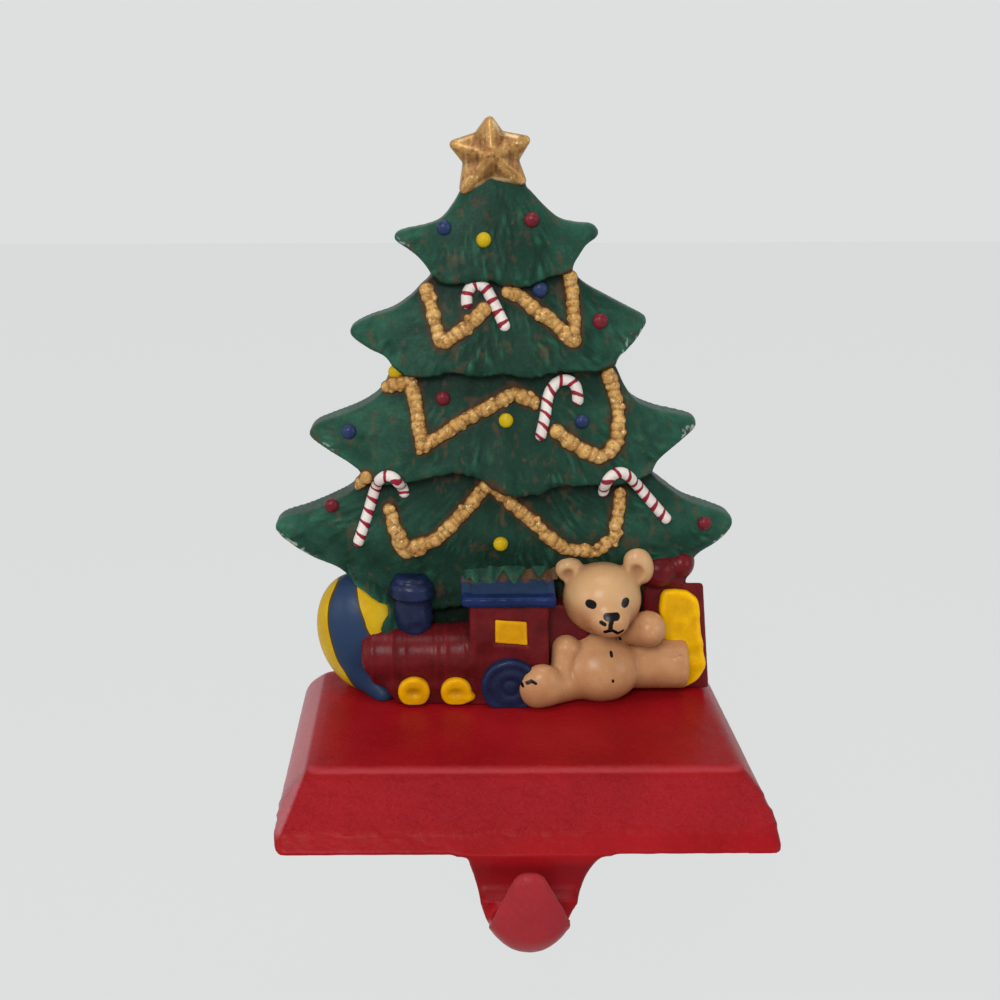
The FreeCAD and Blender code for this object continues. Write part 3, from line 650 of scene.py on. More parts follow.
def paintedOutput(tree, geometry, material):
    # Ends a geometry tree: real meshes with their material
    real = node(tree, "GeometryNodeRealizeInstances", (1, 0), None, {"Geometry": geometry})
    painted = node(tree, "GeometryNodeSetMaterial", (2, 0), None,
                   {"Geometry": real.outputs[0], "Material": material})
    node(tree, "NodeGroupOutput", (3, 0), None, {"Geometry": painted.outputs[0]})


beadTree = groupWith("beads along a garland", [
    ("Spacing", "NodeSocketFloat", 0.002), ("Bead Radius", "NodeSocketFloat", 0.0015),
    ("Knob Radius", "NodeSocketFloat", 0.0008), ("Variation", "NodeSocketFloat", 0.15),
    ("Seed", "NodeSocketInt", 4), ("Material", "NodeSocketMaterial", None)])
given = node(beadTree, "NodeGroupInput", (-6, 0)).outputs
small = node(beadTree, "ShaderNodeMath", (-5, 3), {"operation": "SUBTRACT"},
             {0: 1.0, 1: given["Variation"]}).outputs[0]
large = node(beadTree, "ShaderNodeMath", (-5, 4), {"operation": "ADD"},
             {0: 1.0, 1: given["Variation"]}).outputs[0]
rows = []
for order, (share, radius, scatter) in enumerate(zip(
        (1.0, garlandSizes["knobShare"]), ("Bead Radius", "Knob Radius"), garlandSizes["scatter"])):
    pitch = node(beadTree, "ShaderNodeMath", (-5, order), {"operation": "MULTIPLY"},
                 {0: given["Spacing"], 1: share})
    dots = node(beadTree, "GeometryNodeResampleCurve", (-4, order), {"mode": "LENGTH"},
                {"Curve": given["Geometry"], "Length": pitch.outputs[0]})
    reach = node(beadTree, "ShaderNodeMath", (-4, order + 5), {"operation": "MULTIPLY"},
                 {0: given["Bead Radius"], 1: scatter}).outputs[0]
    back = node(beadTree, "ShaderNodeMath", (-4, order + 7), {"operation": "MULTIPLY"},
                {0: reach, 1: -1.0}).outputs[0]
    low = node(beadTree, "ShaderNodeCombineXYZ", (-3, order + 5), None, {"X": back, "Y": back, "Z": back})
    high = node(beadTree, "ShaderNodeCombineXYZ", (-3, order + 7), None, {"X": reach, "Z": reach})
    jitter = node(beadTree, "FunctionNodeRandomValue", (-2, order + 5), {"data_type": "FLOAT_VECTOR"},
                  {"Min": low.outputs[0], "Max": high.outputs[0], "Seed": given["Seed"]})
    moved = node(beadTree, "GeometryNodeSetPosition", (-2, order), None,
                 {"Geometry": dots.outputs[0], "Offset": jitter.outputs[0]})
    sphere = node(beadTree, "GeometryNodeMeshIcoSphere", (-3, order + 2), None,
                  {"Radius": given[radius], "Subdivisions": 3 - order})
    size = node(beadTree, "FunctionNodeRandomValue", (-3, order + 3), {"data_type": "FLOAT"},
                {2: small, 3: large, "Seed": given["Seed"]})
    rows.append(node(beadTree, "GeometryNodeInstanceOnPoints", (-1, order), None,
                     {"Points": moved.outputs[0], "Instance": sphere.outputs["Mesh"],
                      "Scale": size.outputs[1]}))
both = node(beadTree, "GeometryNodeJoinGeometry", (0, 0))
for row in rows:
    beadTree.links.new(row.outputs[0], both.inputs[0])
paintedOutput(beadTree, both.outputs[0], given["Material"])

print("stringing the garlands")
routes = joined([routeCurve("garland route", route, garlandSizes["routeStep"], garlandSizes["sink"])
                 for route in garlandRoutes], "garlands")
garlands = settle(routes, beadTree, {
    "Spacing": garlandSizes["spacing"] * mm, "Bead Radius": garlandSizes["radius"] * mm,
    "Knob Radius": garlandSizes["knobs"] * mm, "Variation": garlandSizes["variation"], "Seed": 7,
    "Material": goldPaint}, "garlands")
garlands = melt(garlands, garlandSizes["melt"], garlandSizes["soften"])
store(garlands, "hollow", cavity(garlands, 8))
store(garlands, "side", ramp(facing(garlands)[:, 1], -0.62, 0.5))
garlandLook = dict(
    goldLook, lightShare=0.9, grainSize=0.75, rough=0.5, metallic=0.15, bump=0.5, bumpDepth=0.2, shine=0.16,
    spots=[(1.1, 0.54, 0.7, "#7E4F22", 1.0), (0.8, 0.62, 0.6, "#F3E3B8", 1.0)],
    layers=[("side", 0.2, 0.9, 0.85, "#66401D"), ("hollow", 0.02, 0.1, 0.85, "#5A3616")])
garlandPaint = paint("gold garland paint, washed brown", "#C79C5A", "#A87B3E", "#F3E2B8", garlandLook)
dress(garlands, garlandPaint)


# Candy canes
caneSizes = {"radius": 1.3, "sides": 20, "lift": 0.2, "stripePitch": 2.9, "stripeWidth": 1.25, "wander": 1.6,
             "slants": (0.05, -0.24, -0.16, 0.2)}
caneRoutes = [
    [(-12.4, 110.2), (-12.3, 112.3), (-10.9, 114.2), (-8.5, 113.9), (-6.8, 111.2), (-3.9, 105.4)],
    [(4.6, 80.6), (5.6, 85.0), (6.3, 89.2), (7.8, 91.8), (10.2, 92.8), (12.6, 91.4), (13.2, 88.2)],
    [(-37.9, 54.5), (-35.6, 61.3), (-33.4, 68.2), (-31.8, 70.8), (-29.6, 71.0), (-28.0, 69.2), (-27.0, 66.4)],
    [(19.8, 66.4), (20.0, 69.8), (22.3, 71.7), (25.0, 70.9), (29.6, 65.6), (34.9, 59.6)],
]


def roundEnd(spot, tangent, length, sign):
    # Three shrinking rings that close one end of a rod
    r = caneSizes["radius"]
    return [(spot + tangent * sign * r * math.sin(a), tangent, length + sign * r * math.sin(a), math.cos(a))
            for a in (math.radians(25 * k) for k in (1, 2, 3))]


def makeCane(route, slant):
    # A round rod swept along a smooth line on the boughs, with rounded ends
    line = curveThrough(route, 6)
    depth = [surfaceY(x, z) for x, z in line]
    for _ in range(4):
        depth = eased(depth)
    spots = [Vector((x, y - caneSizes["lift"], z)) for (x, z), y in zip(line, depth)]
    r, sides = caneSizes["radius"], caneSizes["sides"]
    along = [0.0]
    for a, b in zip(spots, spots[1:]):
        along.append(along[-1] + (b - a).length)
    rings = []
    for k, spot in enumerate(spots):
        tangent = (spots[min(k + 1, len(spots) - 1)] - spots[max(k - 1, 0)]).normalized()
        rings.append((spot, tangent, along[k], 1.0))
    rings = roundEnd(*rings[0][:3], -1)[::-1] + rings + roundEnd(*rings[-1][:3], 1)
    points, stripe, brush, faces = [], [], [], []
    for spot, tangent, length, share in rings:
        side = tangent.cross(Vector((0, 1, 0))).normalized()
        out = side.cross(tangent).normalized()
        for k in range(sides):
            a = 2 * math.pi * k / sides
            points.append((spot + side * (r * share * math.cos(a)) + out * (r * share * math.sin(a))) * mm)
            stripe.append(length + slant * r * share * math.cos(a) * 2)
            brush.append(0.72 - 0.28 * math.cos(a))      # the bands are wide at one side of the rod
    for row in range(len(rings) - 1):
        for k in range(sides):
            a, b = row * sides + k, row * sides + (k + 1) % sides
            faces.append((a, b, b + sides, a + sides))
    faces.append(tuple(range(sides))[::-1])
    faces.append(tuple(range(len(points) - sides, len(points))))
    return points, stripe, brush, faces


print("bending the candy canes")
allPoints, allStripes, allBrush, allFaces = [], [], [], []
for route, slant in zip(caneRoutes, caneSizes["slants"]):
    points, stripe, brush, faces = makeCane(route, slant)
    allFaces += [tuple(v + len(allPoints) for v in face) for face in faces]
    allPoints += points
    allStripes += stripe
    allBrush += brush
caneMesh = bpy.data.meshes.new("candy_canes")
caneMesh.from_pydata(allPoints, [], allFaces)
canes = finishMesh("candy_canes", caneMesh)
store(canes, "stripe", allStripes)
store(canes, "brush", allBrush)


def canePaint():
    # Thick white enamel with hand-painted red bands that start wide at one side and run thin
    material = paint("white enamel with red bands", "#DCD6CE", "#CBC2BB", "#EFEBE6",
                     {"rough": 0.38, "bump": 0.2, "grainSize": 0.8})
    tree = material.node_tree
    shader = next(n for n in tree.nodes if n.type == "BSDF_PRINCIPLED")
    under = shader.inputs["Base Color"].links[0].from_socket
    value = node(tree, "ShaderNodeAttribute", (-3, 8), {"attribute_name": "stripe"}).outputs["Fac"]
    drift = next(n for n in tree.nodes if n.type == "TEX_NOISE").outputs["Fac"]
    moved = node(tree, "ShaderNodeMath", (-2, 8), {"operation": "MULTIPLY_ADD"},
                 {0: drift, 1: caneSizes["wander"], 2: value})
    phase = node(tree, "ShaderNodeMath", (-1, 8), {"operation": "PINGPONG"},
                 {0: moved.outputs[0], 1: caneSizes["stripePitch"] / 2})
    brush = node(tree, "ShaderNodeAttribute", (-3, 9), {"attribute_name": "brush"}).outputs["Fac"]
    half = node(tree, "ShaderNodeMath", (-1, 9), {"operation": "MULTIPLY"},
                {0: brush, 1: caneSizes["stripeWidth"] / 2})
    over = node(tree, "ShaderNodeMath", (0, 9), {"operation": "SUBTRACT"},
                {0: half.outputs[0], 1: phase.outputs[0]})
    band = node(tree, "ShaderNodeMapRange", (0, 8), None,
                {"Value": over.outputs[0], "From Min": -0.12, "From Max": 0.06})
    colour = node(tree, "ShaderNodeMix", (1, 8), {"data_type": "RGBA"},
                  {"Factor": band.outputs["Result"], "A": under, "B": linear("#861D2E")})
    tree.links.new(colour.outputs["Result"], shader.inputs["Base Color"])
    return material


dress(canes, canePaint())


# Baubles
baubleSizes = {"radius": 1.65, "flat": 0.75, "lift": 0.35, "smallest": 0.92, "largest": 1.1}
baublePlaces = {
    "red": [(2.0, 128.5), (17.9, 106.1), (-17.8, 88.8), (-44.2, 62.7), (44.4, 57.9)],
    "yellow": [(-8.7, 124.3), (-28.6, 94.4), (-3.4, 84.0), (-4.3, 54.4)],
    "blue": [(-17.5, 126.8), (4.1, 113.2), (14.1, 83.5), (-39.6, 80.8)],
}
baubleTree = groupWith("baubles", [
    ("Radius", "NodeSocketFloat", 0.0016), ("Flatness", "NodeSocketFloat", 0.8), ("Seed", "NodeSocketInt", 3),
    ("Material", "NodeSocketMaterial", None)])
given = node(baubleTree, "NodeGroupInput", (-4, 0)).outputs
sphere = node(baubleTree, "GeometryNodeMeshUVSphere", (-3, 1), None,
              {"Segments": 28, "Rings": 16, "Radius": given["Radius"]})
size = node(baubleTree, "FunctionNodeRandomValue", (-3, 3), {"data_type": "FLOAT"},
            {2: baubleSizes["smallest"], 3: baubleSizes["largest"], "Seed": given["Seed"]})
deep = node(baubleTree, "ShaderNodeMath", (-2, 4), {"operation": "MULTIPLY"},
            {0: size.outputs[1], 1: given["Flatness"]})
scale = node(baubleTree, "ShaderNodeCombineXYZ", (-1, 3), None,
             {"X": size.outputs[1], "Y": deep.outputs[0], "Z": size.outputs[1]})
hung = node(baubleTree, "GeometryNodeInstanceOnPoints", (0, 0), None,
            {"Points": given["Geometry"], "Instance": sphere.outputs["Mesh"], "Scale": scale.outputs[0]})
paintedOutput(baubleTree, hung.outputs[0], given["Material"])

print("hanging the baubles")
# painted shade: the near-black "hollow" layer darkens the creases of the toys
enamelLook = {
    "driftSize": 5, "grainSize": 0.7, "lightShare": 0.3, "rough": 0.24, "bump": 0.25, "ragged": 0.15,
    "shine": 0.14, "layers": [("hollow", 0.03, 0.2, 0.5, "#1C120E")]}
duller = dict(enamelLook, shine=0.1)
yellowPaint = paint("yellow enamel, two brushed coats", "#DEA405", "#CC8D02", "#E8BE1E", duller)
bluePaint = paint("navy enamel, brushed", "#1D2A4A", "#161E38", "#3A4B66", enamelLook)
# the top of the roof ("worn") is painted lighter and greyer; the near-black "hollow" layer is painted shade
roofPaint = paint("navy enamel, lighter and greyer on top", "#192A56", "#142145", "#2E4880", dict(
    enamelLook, shine=0.08, layers=[("worn", 0.4, 1.2, 0.7, "#35475C"), ("wash", 0.3, 0.45, 0.85, "#6E4529"),
                                    ("hollow", 0.03, 0.2, 0.5, "#11131F")]))
maroonPaint = paint("maroon enamel, brushed", "#6A191D", "#551115", "#823237", duller)
for colour, tones, slotName in (("red", ("#76222B", "#5C161E", "#9A3A44"), "maroon_enamel"),
                                ("yellow", ("#CBAE12", "#B39305", "#E2CB3C"), "yellow_enamel"),
                                ("blue", ("#2A3C63", "#1F2D4E", "#47608A"), "blue_enamel")):
    dropPaint = paint(colour + " enamel drops", *tones, enamelLook)
    mesh = bpy.data.meshes.new("dots")
    mesh.from_pydata([(x * mm, (surfaceY(x, z) - baubleSizes["lift"]) * mm, z * mm)
                      for x, z in baublePlaces[colour]], [], [])
    made = settle(placed("dots", mesh), baubleTree, {
        "Radius": baubleSizes["radius"] * mm, "Flatness": baubleSizes["flat"], "Seed": 5,
        "Material": dropPaint}, "baubles_" + colour)
    store(made, "hollow", np.zeros(len(made.data.vertices)))
    dress(made, dropPaint)


# Beach ball
ballShape = {"centre": (-37.2, 50.6, 28.2), "radii": (11.6, 9.6, 15.9), "lean": -15, "step": 0.36,
             "foot": ((-38.6, 46.5, 20.5), (-32.6, 42.6, 15.4), 4.0, 2.6), "line": 0.22}
ballEdges = [
    [(-41.0, 47.0), (-42.5, 43.9), (-44.9, 39.2), (-45.6, 35.5), (-45.4, 31.8), (-44.4, 27.3), (-43.2, 23.5),
     (-41.2, 20.0), (-38.0, 13.0)],
    [(-39.8, 47.0), (-39.2, 43.2), (-38.3, 38.4), (-37.0, 34.8), (-36.0, 32.0), (-31.0, 24.0), (-22.0, 12.0)],
]


def standing(body, y, z, edge):
    # Cuts a toy flat at its back and where it stands
    return smoothMax(body, np.maximum(y - toyBack, seat - z), edge)


def ballField(x, y, z):
    shape = ballShape
    body = ball(x, y, z, shape["centre"], shape["radii"], shape["lean"])
    body = smoothMin(body, capsule(x, y, z, *shape["foot"]), 2.0)      # it runs on under the boiler
    return standing(body, y, z, 0.6)


print("inflating the beach ball")
beachBall = fieldMesh("beach_ball", ballField, (-51, 34, 14), (-24, 57, 46), ballShape["step"])
ballX, _, ballZ = places(beachBall).T
sides = []
for edge, sign in zip(ballEdges, (1, -1)):
    line = curveThrough(edge, 5)
    gap = lineDistance(line, ballX, ballZ)
    edgeX, edgeZ = zip(*line[::-1])
    sides.append(np.where((ballX - np.interp(ballZ, edgeZ, edgeX)) * sign > 0, gap, -gap))
store(beachBall, "panel", np.minimum(*sides))
store(beachBall, "hollow", cavity(beachBall, 6))
ballPaint = paint("beach ball enamels", "#C4A216", "#B58C08", "#D4BC3C", {
    "rough": 0.36, "bump": 0.2, "ragged": 0.1, "driftSize": 8,
    "layers": [("panel", -ballShape["line"] - 0.1, -ballShape["line"], 0.9, "#15130F"),
               ("panel", ballShape["line"] - 0.1, ballShape["line"] + 0.05, 1.0, "#223551")]})
dress(beachBall, ballPaint)


# Locomotive
trainShape = {
    "boiler": (45.0, 25.1, 7.35), "boilerX": (-37.8, -10.0),
    "rings": [-34.9, -30.2, -27.2, -19.6, -17.3, -13.0], "ringRise": 0.2, "ringWidth": 0.55,
    "cab": ((-11.6, 38.3, 12), (7.4, 57.2, 40.4)),
    "rear": ((2.0, 42.5, 12), (17.5, 57.2, 38.5)), "chassis": ((-31.6, 38.8, 12), (4.0, 50, 20)),
    "bumper": ((-33.6, 41.6, 20.6), (2.0, 1.8, 2.0)), "wobble": 0.22, "step": 0.36, "fineStep": 0.3,
    "window": [(-5.7, 36.5), (2.0, 35.8), (2.5, 29.6), (-5.6, 30.4)], "windowDepth": 39.0,
    "roof": ((-13.7, 36.4, 40.1), (8.7, 54.0, 42.8)), "roofRise": 3.4,
    "wheels": [(-25.0, 18.0, 3.85), (-14.8, 18.0, 3.75)], "wheelFront": 36.9, "wheelBack": 42,
    "wheelFlat": 14.9, "dish": (1.7, 1.2, 1.1), "corner": ((-11.6, 38.6, 16.6), (1.5, 1.5, 1.2)),
    "drive": (-1.8, 19.7, 7.0), "driveFront": 36.2, "driveGrooves": [(0.22, 4.9, 0.8), (0.35, 2.0, 0.7)],
}
chimneyShape = {
    "at": (-25.1, 45.6), "lean": 0.06, "top": 45.6, "lumps": 0.15,
    "levels": [27.0, 29.6, 32.0, 35.0, 38.9, 39.6, 40.4, 42.8, 43.6, 44.2, 45.4],
    "widths": [1.5, 3.2, 4.3, 4.7, 4.5, 4.6, 5.3, 5.3, 4.9, 4.2, 3.9],
}


def disc(x, y, z, cx, cz, r, front, back, edge):
    # Field of a wheel that faces the room
    side = np.hypot(x - cx, z - cz) - r
    return smoothMax(side, np.maximum(front - y, y - back), edge)


def windowSide(x, z):
    return outlineDistance(trainShape["window"], *frontView(x, z))[:, None, :]


def trainField(x, y, z):
    shape = trainShape
    cy, cz, r = shape["boiler"]
    swell = sum(np.exp(-((x - ring) / shape["ringWidth"]) ** 2) for ring in shape["rings"])
    radial = np.hypot(y - cy, z - cz) - r - swell * shape["ringRise"]
    boiler = smoothMax(radial, np.maximum(shape["boilerX"][0] - x, x - shape["boilerX"][1]), 2.2)
    boiler = smoothMax(boiler, (-36.2 - x) * 0.75 + (21.4 - z) * 0.66, 2.0)      # the nose is cut back below
    cab = roundBox(x, y, z, *shape["cab"], 1.2)
    cab = smoothMax(cab, -smoothMax(windowSide(x, z), y - shape["windowDepth"], 0.3), 0.5)
    chassis = roundBox(x, y, z, *shape["chassis"], 1.5)
    chassis = smoothMax(chassis, (-31.4 - x) * 0.82 + (17.6 - z) * 0.57, 1.0)    # and so is its frame
    body = smoothMin(smoothMin(boiler, chassis, 3.0), cab, 1.2)
    body = smoothMin(body, roundBox(x, y, z, *shape["rear"], 1.2), 0.6)
    body = smoothMin(body, ball(x, y, z, *shape["bumper"]), 1.4)
    wobble = noiseGrid(x / 4.5 + 9, z / 4.5 + 9, 3) * shape["wobble"]
    return standing(body + wobble, y, z, 0.5)


def chimneyField(x, y, z):
    shape = chimneyShape
    lean = (z - 36) * shape["lean"]
    r = np.hypot(x - shape["at"][0] + lean, y - shape["at"][1])
    wall = np.interp(z, shape["levels"], shape["widths"])
    bulge = noiseGrid(x / 2.4 + 33, z / 2.4 + 33, 71) * shape["lumps"]
    return smoothMax((r - wall) * 0.85 + bulge, z - shape["top"], 1.2)


def roofField(x, y, z):
    # A slab that rises to the back, with a rim round its top
    low, high = trainShape["roof"]
    rise = ramp(y - low[1], 1, 11) * trainShape["roofRise"]
    slab = roundBox(x, y, z - rise * np.clip((z - low[2]) / 2.5, 0, 1), low, high, 1.1)
    inner = roundBox(x, y, z - rise, (low[0] + 1.9, low[1] + 1.5, high[2] - 0.6),
                     (high[0] - 1.4, 60, 60), 0.8)
    worn = noiseGrid(x / 1.6 + 21, y / 1.6 + 21, 72) * 0.12
    return smoothMax(slab, -(inner + 0.2), 0.6) + worn


def driveField(x, y, z):
    shape = trainShape
    cx, cz, r = shape["drive"]
    wheel = disc(x, y, z, cx, cz, r, shape["driveFront"], shape["wheelBack"], 1.1)
    away = np.hypot(x - cx, z - cz)
    groove = sum(deep * np.exp(-((away - at) / wide) ** 2) for deep, at, wide in shape["driveGrooves"])
    return smoothMax(wheel + groove, seat - z, 0.3)


def wheelField(x, y, z):
    # Two wheels with a thumbed hollow, flat where they stand; the second has a pulled-out corner
    shape = trainShape
    total = ball(x, y, z, *shape["corner"])
    for cx, cz, r in shape["wheels"]:
        wheel = disc(x, y, z, cx, cz, r, shape["wheelFront"], shape["wheelBack"], 1.1)
        dish = ball(x, y, z, (cx, 36.3, cz + 0.2), shape["dish"])
        total = smoothMin(total, smoothMax(wheel, -dish, 0.8), 0.9)
    return smoothMax(total, shape["wheelFlat"] - z, 0.5)


def glassField(x, y, z):
    # The yellow pane at the bottom of the window
    return smoothMax(windowSide(x, z), np.maximum(38.6 - y, y - 42), 0.5)


# Boughs that hang over the roof and over the ball
fringeShape = {"low": 43.5, "front": 42.8, "slope": 0.8, "middle": -1.6, "half": 11.4, "top": 51.5,
               "back": 55, "notches": [(-11.4, 45.6), (-3.4, 46.9), (2.7, 48.3), (8.6, 49.6)], "step": 0.34}
boughOutline = [(-41.5, 47.5), (-40.6, 44.8), (-39.4, 42.4), (-35.9, 40.7), (-31.6, 37.9), (-31.2, 35.6),
                (-32.4, 34.3), (-33.2, 32.5), (-31.1, 30.4), (-27.3, 30.4), (-27.1, 47.5)]


def notchShare(x, z):
    # How far inside one of the brown gaps between the bough tips
    share = np.zeros(np.broadcast(x, z).shape)
    for cx, top in fringeShape["notches"]:
        share = np.maximum(share, np.clip((top - z - np.abs(x - cx) * 1.3) / 0.8, 0, 1))
    return share


def fringeField(x, y, z):
    # Ragged hem of the boughs that hangs over the back of the roof
    shape = fringeShape
    flatX, flatZ = frontView(x, z)
    low = shape["low"] + 1.0 * noiseGrid(flatX / 1.5 + 8, flatX * 0 + 9, 76)
    ridge = 0.45 * noiseGrid(flatX / 1.1 + 3, flatZ / 3 + 3, 77)
    front = shape["front"] + np.clip(flatZ - 44, 0, 9) * shape["slope"] + ridge
    front = front + 0.9 * notchShare(flatX, flatZ)
    sheet = smoothMax(front[:, None, :] - y, (low - flatZ)[:, None, :], 0.8)
    sides = np.abs(x - shape["middle"]) - shape["half"]
    return smoothMax(sheet, np.maximum(sides, np.maximum(y - shape["back"], z - shape["top"])), 0.8)


def boughField(x, y, z):
    # Bough that lies over the right of the ball, down to the boiler
    flatX, flatZ = frontView(x, z)
    side = outlineDistance(boughOutline, flatX, flatZ) + 0.3 * noiseGrid(flatX / 2.2 + 3, flatZ / 2.2 + 3, 78)
    ridge = 0.16 * noiseGrid(flatX / 0.9 + 3, flatZ / 3 + 3, 77)[:, None, :]
    swollen = ball(x, y, z, ballShape["centre"], [r + 0.9 for r in ballShape["radii"]], ballShape["lean"])
    front = np.minimum(swollen, 47.5 - y + np.clip(34 - z, 0, 4))
    return smoothMax(smoothMax(side[:, None, :], front + ridge, 0.7), y - fringeShape["back"], 0.5)


print("building the locomotive")
train = fieldMesh("train_body", trainField, (-38.6, 37, 14), (18.5, 57.5, 41.5), trainShape["step"])
store(train, "hollow", cavity(train, 6))
dress(train, maroonPaint)
for name, field, low, high, material, slotName in (
        ("train_chimney", chimneyField, (-31.5, 39, 26), (-18.5, 52, 47), bluePaint, "blue_enamel"),
        ("train_roof", roofField, (-14.5, 35.5, 39), (9.8, 55, 48), roofPaint, "blue_enamel"),
        ("train_drive_wheel", driveField, (-10, 35, 14), (6.5, 43, 28), bluePaint, "blue_enamel"),
        ("train_wheels", wheelField, (-30, 35.5, 14), (-8.5, 43, 23), yellowPaint, "yellow_enamel"),
        ("train_window", glassField, (-7, 38, 29), (3.5, 42.5, 37.5), yellowPaint, "yellow_enamel"),
        ("bough_over_ball", boughField, (-42.5, 39, 29), (-26, 56, 48.5), greenPaint, "green_enamel"),
        ("boughs_over_roof", fringeField, (-15, 41, 42.5), (12, 56, 53), greenPaint, "green_enamel")):
    isBough = name.startswith("bough")
    made = fieldMesh(name, field, low, high, fringeShape["step"] if isBough else trainShape["fineStep"])
    store(made, "hollow", cavity(made, 6))
    px, py, pz = places(made).T
    if isBough:
        store(made, "notch", notchShare(px, pz) * (px > -20))
        store(made, "middle", np.full(len(px), 0.5))
        store(made, "stroke", noiseGrid(px / 0.9 + 3, pz / 3 + 3, 77))
    if name == "train_roof":                             # brown dabs on the top, towards the boughs
        dabs = ramp(py, 41.6, 2) * (0.5 + 0.5 * noiseGrid(px / 1.8 + 15, py / 2 + 15, 73))
        store(made, "wash", dabs * 0.55)
        # the top of the roof is painted lighter and greyer
        store(made, "worn", ramp(pz, 42.2, 0.8) * ramp(py, 38, 1.5))
    dress(made, material)


# Teddy bear: lumps as centre, radii and lean, limbs as two ends and two radii
bearShape = {
    "step": 0.34, "head": ((20.3, 43.8, 39.9), (9.4, 9.1, 8.8)),
    "muzzle": ((21.4, 36.0, 36.8), (4.3, 3.6, 3.6)),
    "ears": [((12.4, 45.4, 46.8), (3.3, 2.6, 3.3), 30), ((29.0, 45.0, 47.8), (3.5, 2.8, 4.9), -20)],
    "earCup": (1.9, 1.9, 2.4), "torso": ((19.9, 45.6, 22.8), (9.3, 8.0, 8.6)),
    "belly": ((20.4, 42.6, 21.0), (9.4, 7.0, 7.2)),
    "armLeft": ((11.9, 42.2, 27.4), (11.0, 40.8, 21.6), 3.5, 2.9),
    "armRight": ((27.5, 44.0, 31.6), (31.3, 41.4, 32.8), 3.7, 4.4),
    "legLeft": ((13.5, 42.0, 18.8), (8.0, 38.8, 18.8), 4.6, 4.3),
    "foot": ((5.4, 37.2, 19.8), (5.0, 3.6, 5.7), 24),
    "legRight": (46.4, 21.7, 6.3), "legEnds": (22, 41.9), "sole": ((42.4, 46.2, 21.6), (0.9, 4.8, 4.8)),
    "toes": ((39.2, 41.2, 22.3), (1.8, 0.9, 3.7), 6), "cheek": (13.6, 37.6, 3.2, 3.4),
}


def bearField(x, y, z):
    shape = bearShape
    head = ball(x, y, z, *shape["head"])
    head = smoothMin(head, ball(x, y, z, *shape["muzzle"]), 2.2)
    for ear, size, lean in shape["ears"]:
        shell = ball(x, y, z, ear, size, lean)
        cup = ball(x, y, z, (ear[0] - 0.8, ear[1] - 3.1, ear[2] - 1.4), shape["earCup"], lean)
        head = smoothMin(head, smoothMax(shell, -cup, 0.9), 1.2)
    torso = smoothMin(ball(x, y, z, *shape["torso"]), ball(x, y, z, *shape["belly"]), 2.5)
    legLeft = smoothMin(capsule(x, y, z, *shape["legLeft"]), ball(x, y, z, *shape["foot"]), 1.2)
    cy, cz, r = shape["legRight"]
    start, end = shape["legEnds"]
    legRight = smoothMax(np.hypot(y - cy, z - cz) - r, np.maximum(start - x, x - end), 1.3)
    legRight = smoothMax(legRight, -ball(x, y, z, *shape["sole"]), 0.5)
    legRight = smoothMin(legRight, ball(x, y, z, *shape["toes"]), 0.3)
    body = smoothMin(torso, capsule(x, y, z, *shape["armLeft"]), 0.6)
    body = smoothMin(body, capsule(x, y, z, *shape["armRight"]), 0.7)
    for part, blend in ((legLeft, 1.3), (legRight, 0.8), (head, 0.4)):
        body = smoothMin(body, part, blend)
    return standing(body, y, z, 0.4)


# Black brush marks on the bear, seen from the front: points and half-widths
bearMarks = [
    ([(16.4, 41.6), (16.9, 41.5)], 0.95), ([(24.7, 41.6), (24.8, 41.9)], 0.9),
    ([(20.2, 39.2), (22.4, 39.3)], 0.78), ([(21.3, 38.8), (21.0, 37.6), (20.9, 36.2)], 0.46),
    ([(18.9, 37.9), (19.6, 37.6)], 0.4), ([(20.9, 36.2), (19.8, 35.7)], 0.34),
    ([(20.9, 36.4), (21.9, 36.0), (22.8, 35.3), (24.0, 35.8)], 0.3),
    ([(2.0, 21.7), (3.0, 22.4), (4.0, 22.0)], 0.3), ([(0.9, 21.1), (1.0, 20.7)], 0.3),
    ([(24.8, 30.2), (24.9, 29.9)], 0.26), ([(22.3, 27.8), (22.4, 27.2)], 0.3),
    ([(22.6, 21.9), (22.6, 21.6)], 0.26), ([(39.6, 29.6), (39.8, 28.8)], 0.3),
]
print("stuffing the teddy bear")
bear = fieldMesh("teddy_bear", bearField, (-1, 32, 14), (43, 57, 53.5), bearShape["step"])
store(bear, "hollow", cavity(bear, 10))
bearX, bearY, bearZ = places(bear).T
ink = np.full(len(bearX), 9.0)
for line, half in bearMarks:
    ink = np.minimum(ink, lineDistance(line, bearX, bearZ) - half)
ink[bearY > 48] = 9.0
store(bear, "ink", ink)
store(bear, "pale", ramp(bearZ, 36, 6) * ramp(bearY, 50, -4))
cheekX, cheekZ, wide, high = bearShape["cheek"]
cheek = np.exp(-((bearX - cheekX) / wide) ** 2 - ((bearZ - cheekZ) / high) ** 2)
# painted shade: brown on the faces that turn downwards and over the left cheek
store(bear, "below", np.clip(-facing(bear)[:, 2] + 0.15, 0, 1) + 0.6 * cheek)
tanPaint = paint("tan enamel, brown wash and painted shade", "#B98A60", "#AB7852", "#CDA67C", {
    "driftSize": 9, "grainSize": 0.8, "lightShare": 0.4, "rough": 0.22, "bump": 0.2, "ragged": 0.12,
    "shine": 0.16,
    "layers": [("pale", 0.3, 1.1, 0.5, "#CBA97A"), ("below", 0.2, 0.9, 0.45, "#83502F"),
               ("hollow", 0.03, 0.3, 0.8, "#7A4529"), ("ink", 0.1, -0.04, 1.0, "#070505")],
    "spots": [(0.7, 0.74, 0.6, "#4A2B1C", 1.0)]})
dress(bear, tanPaint)


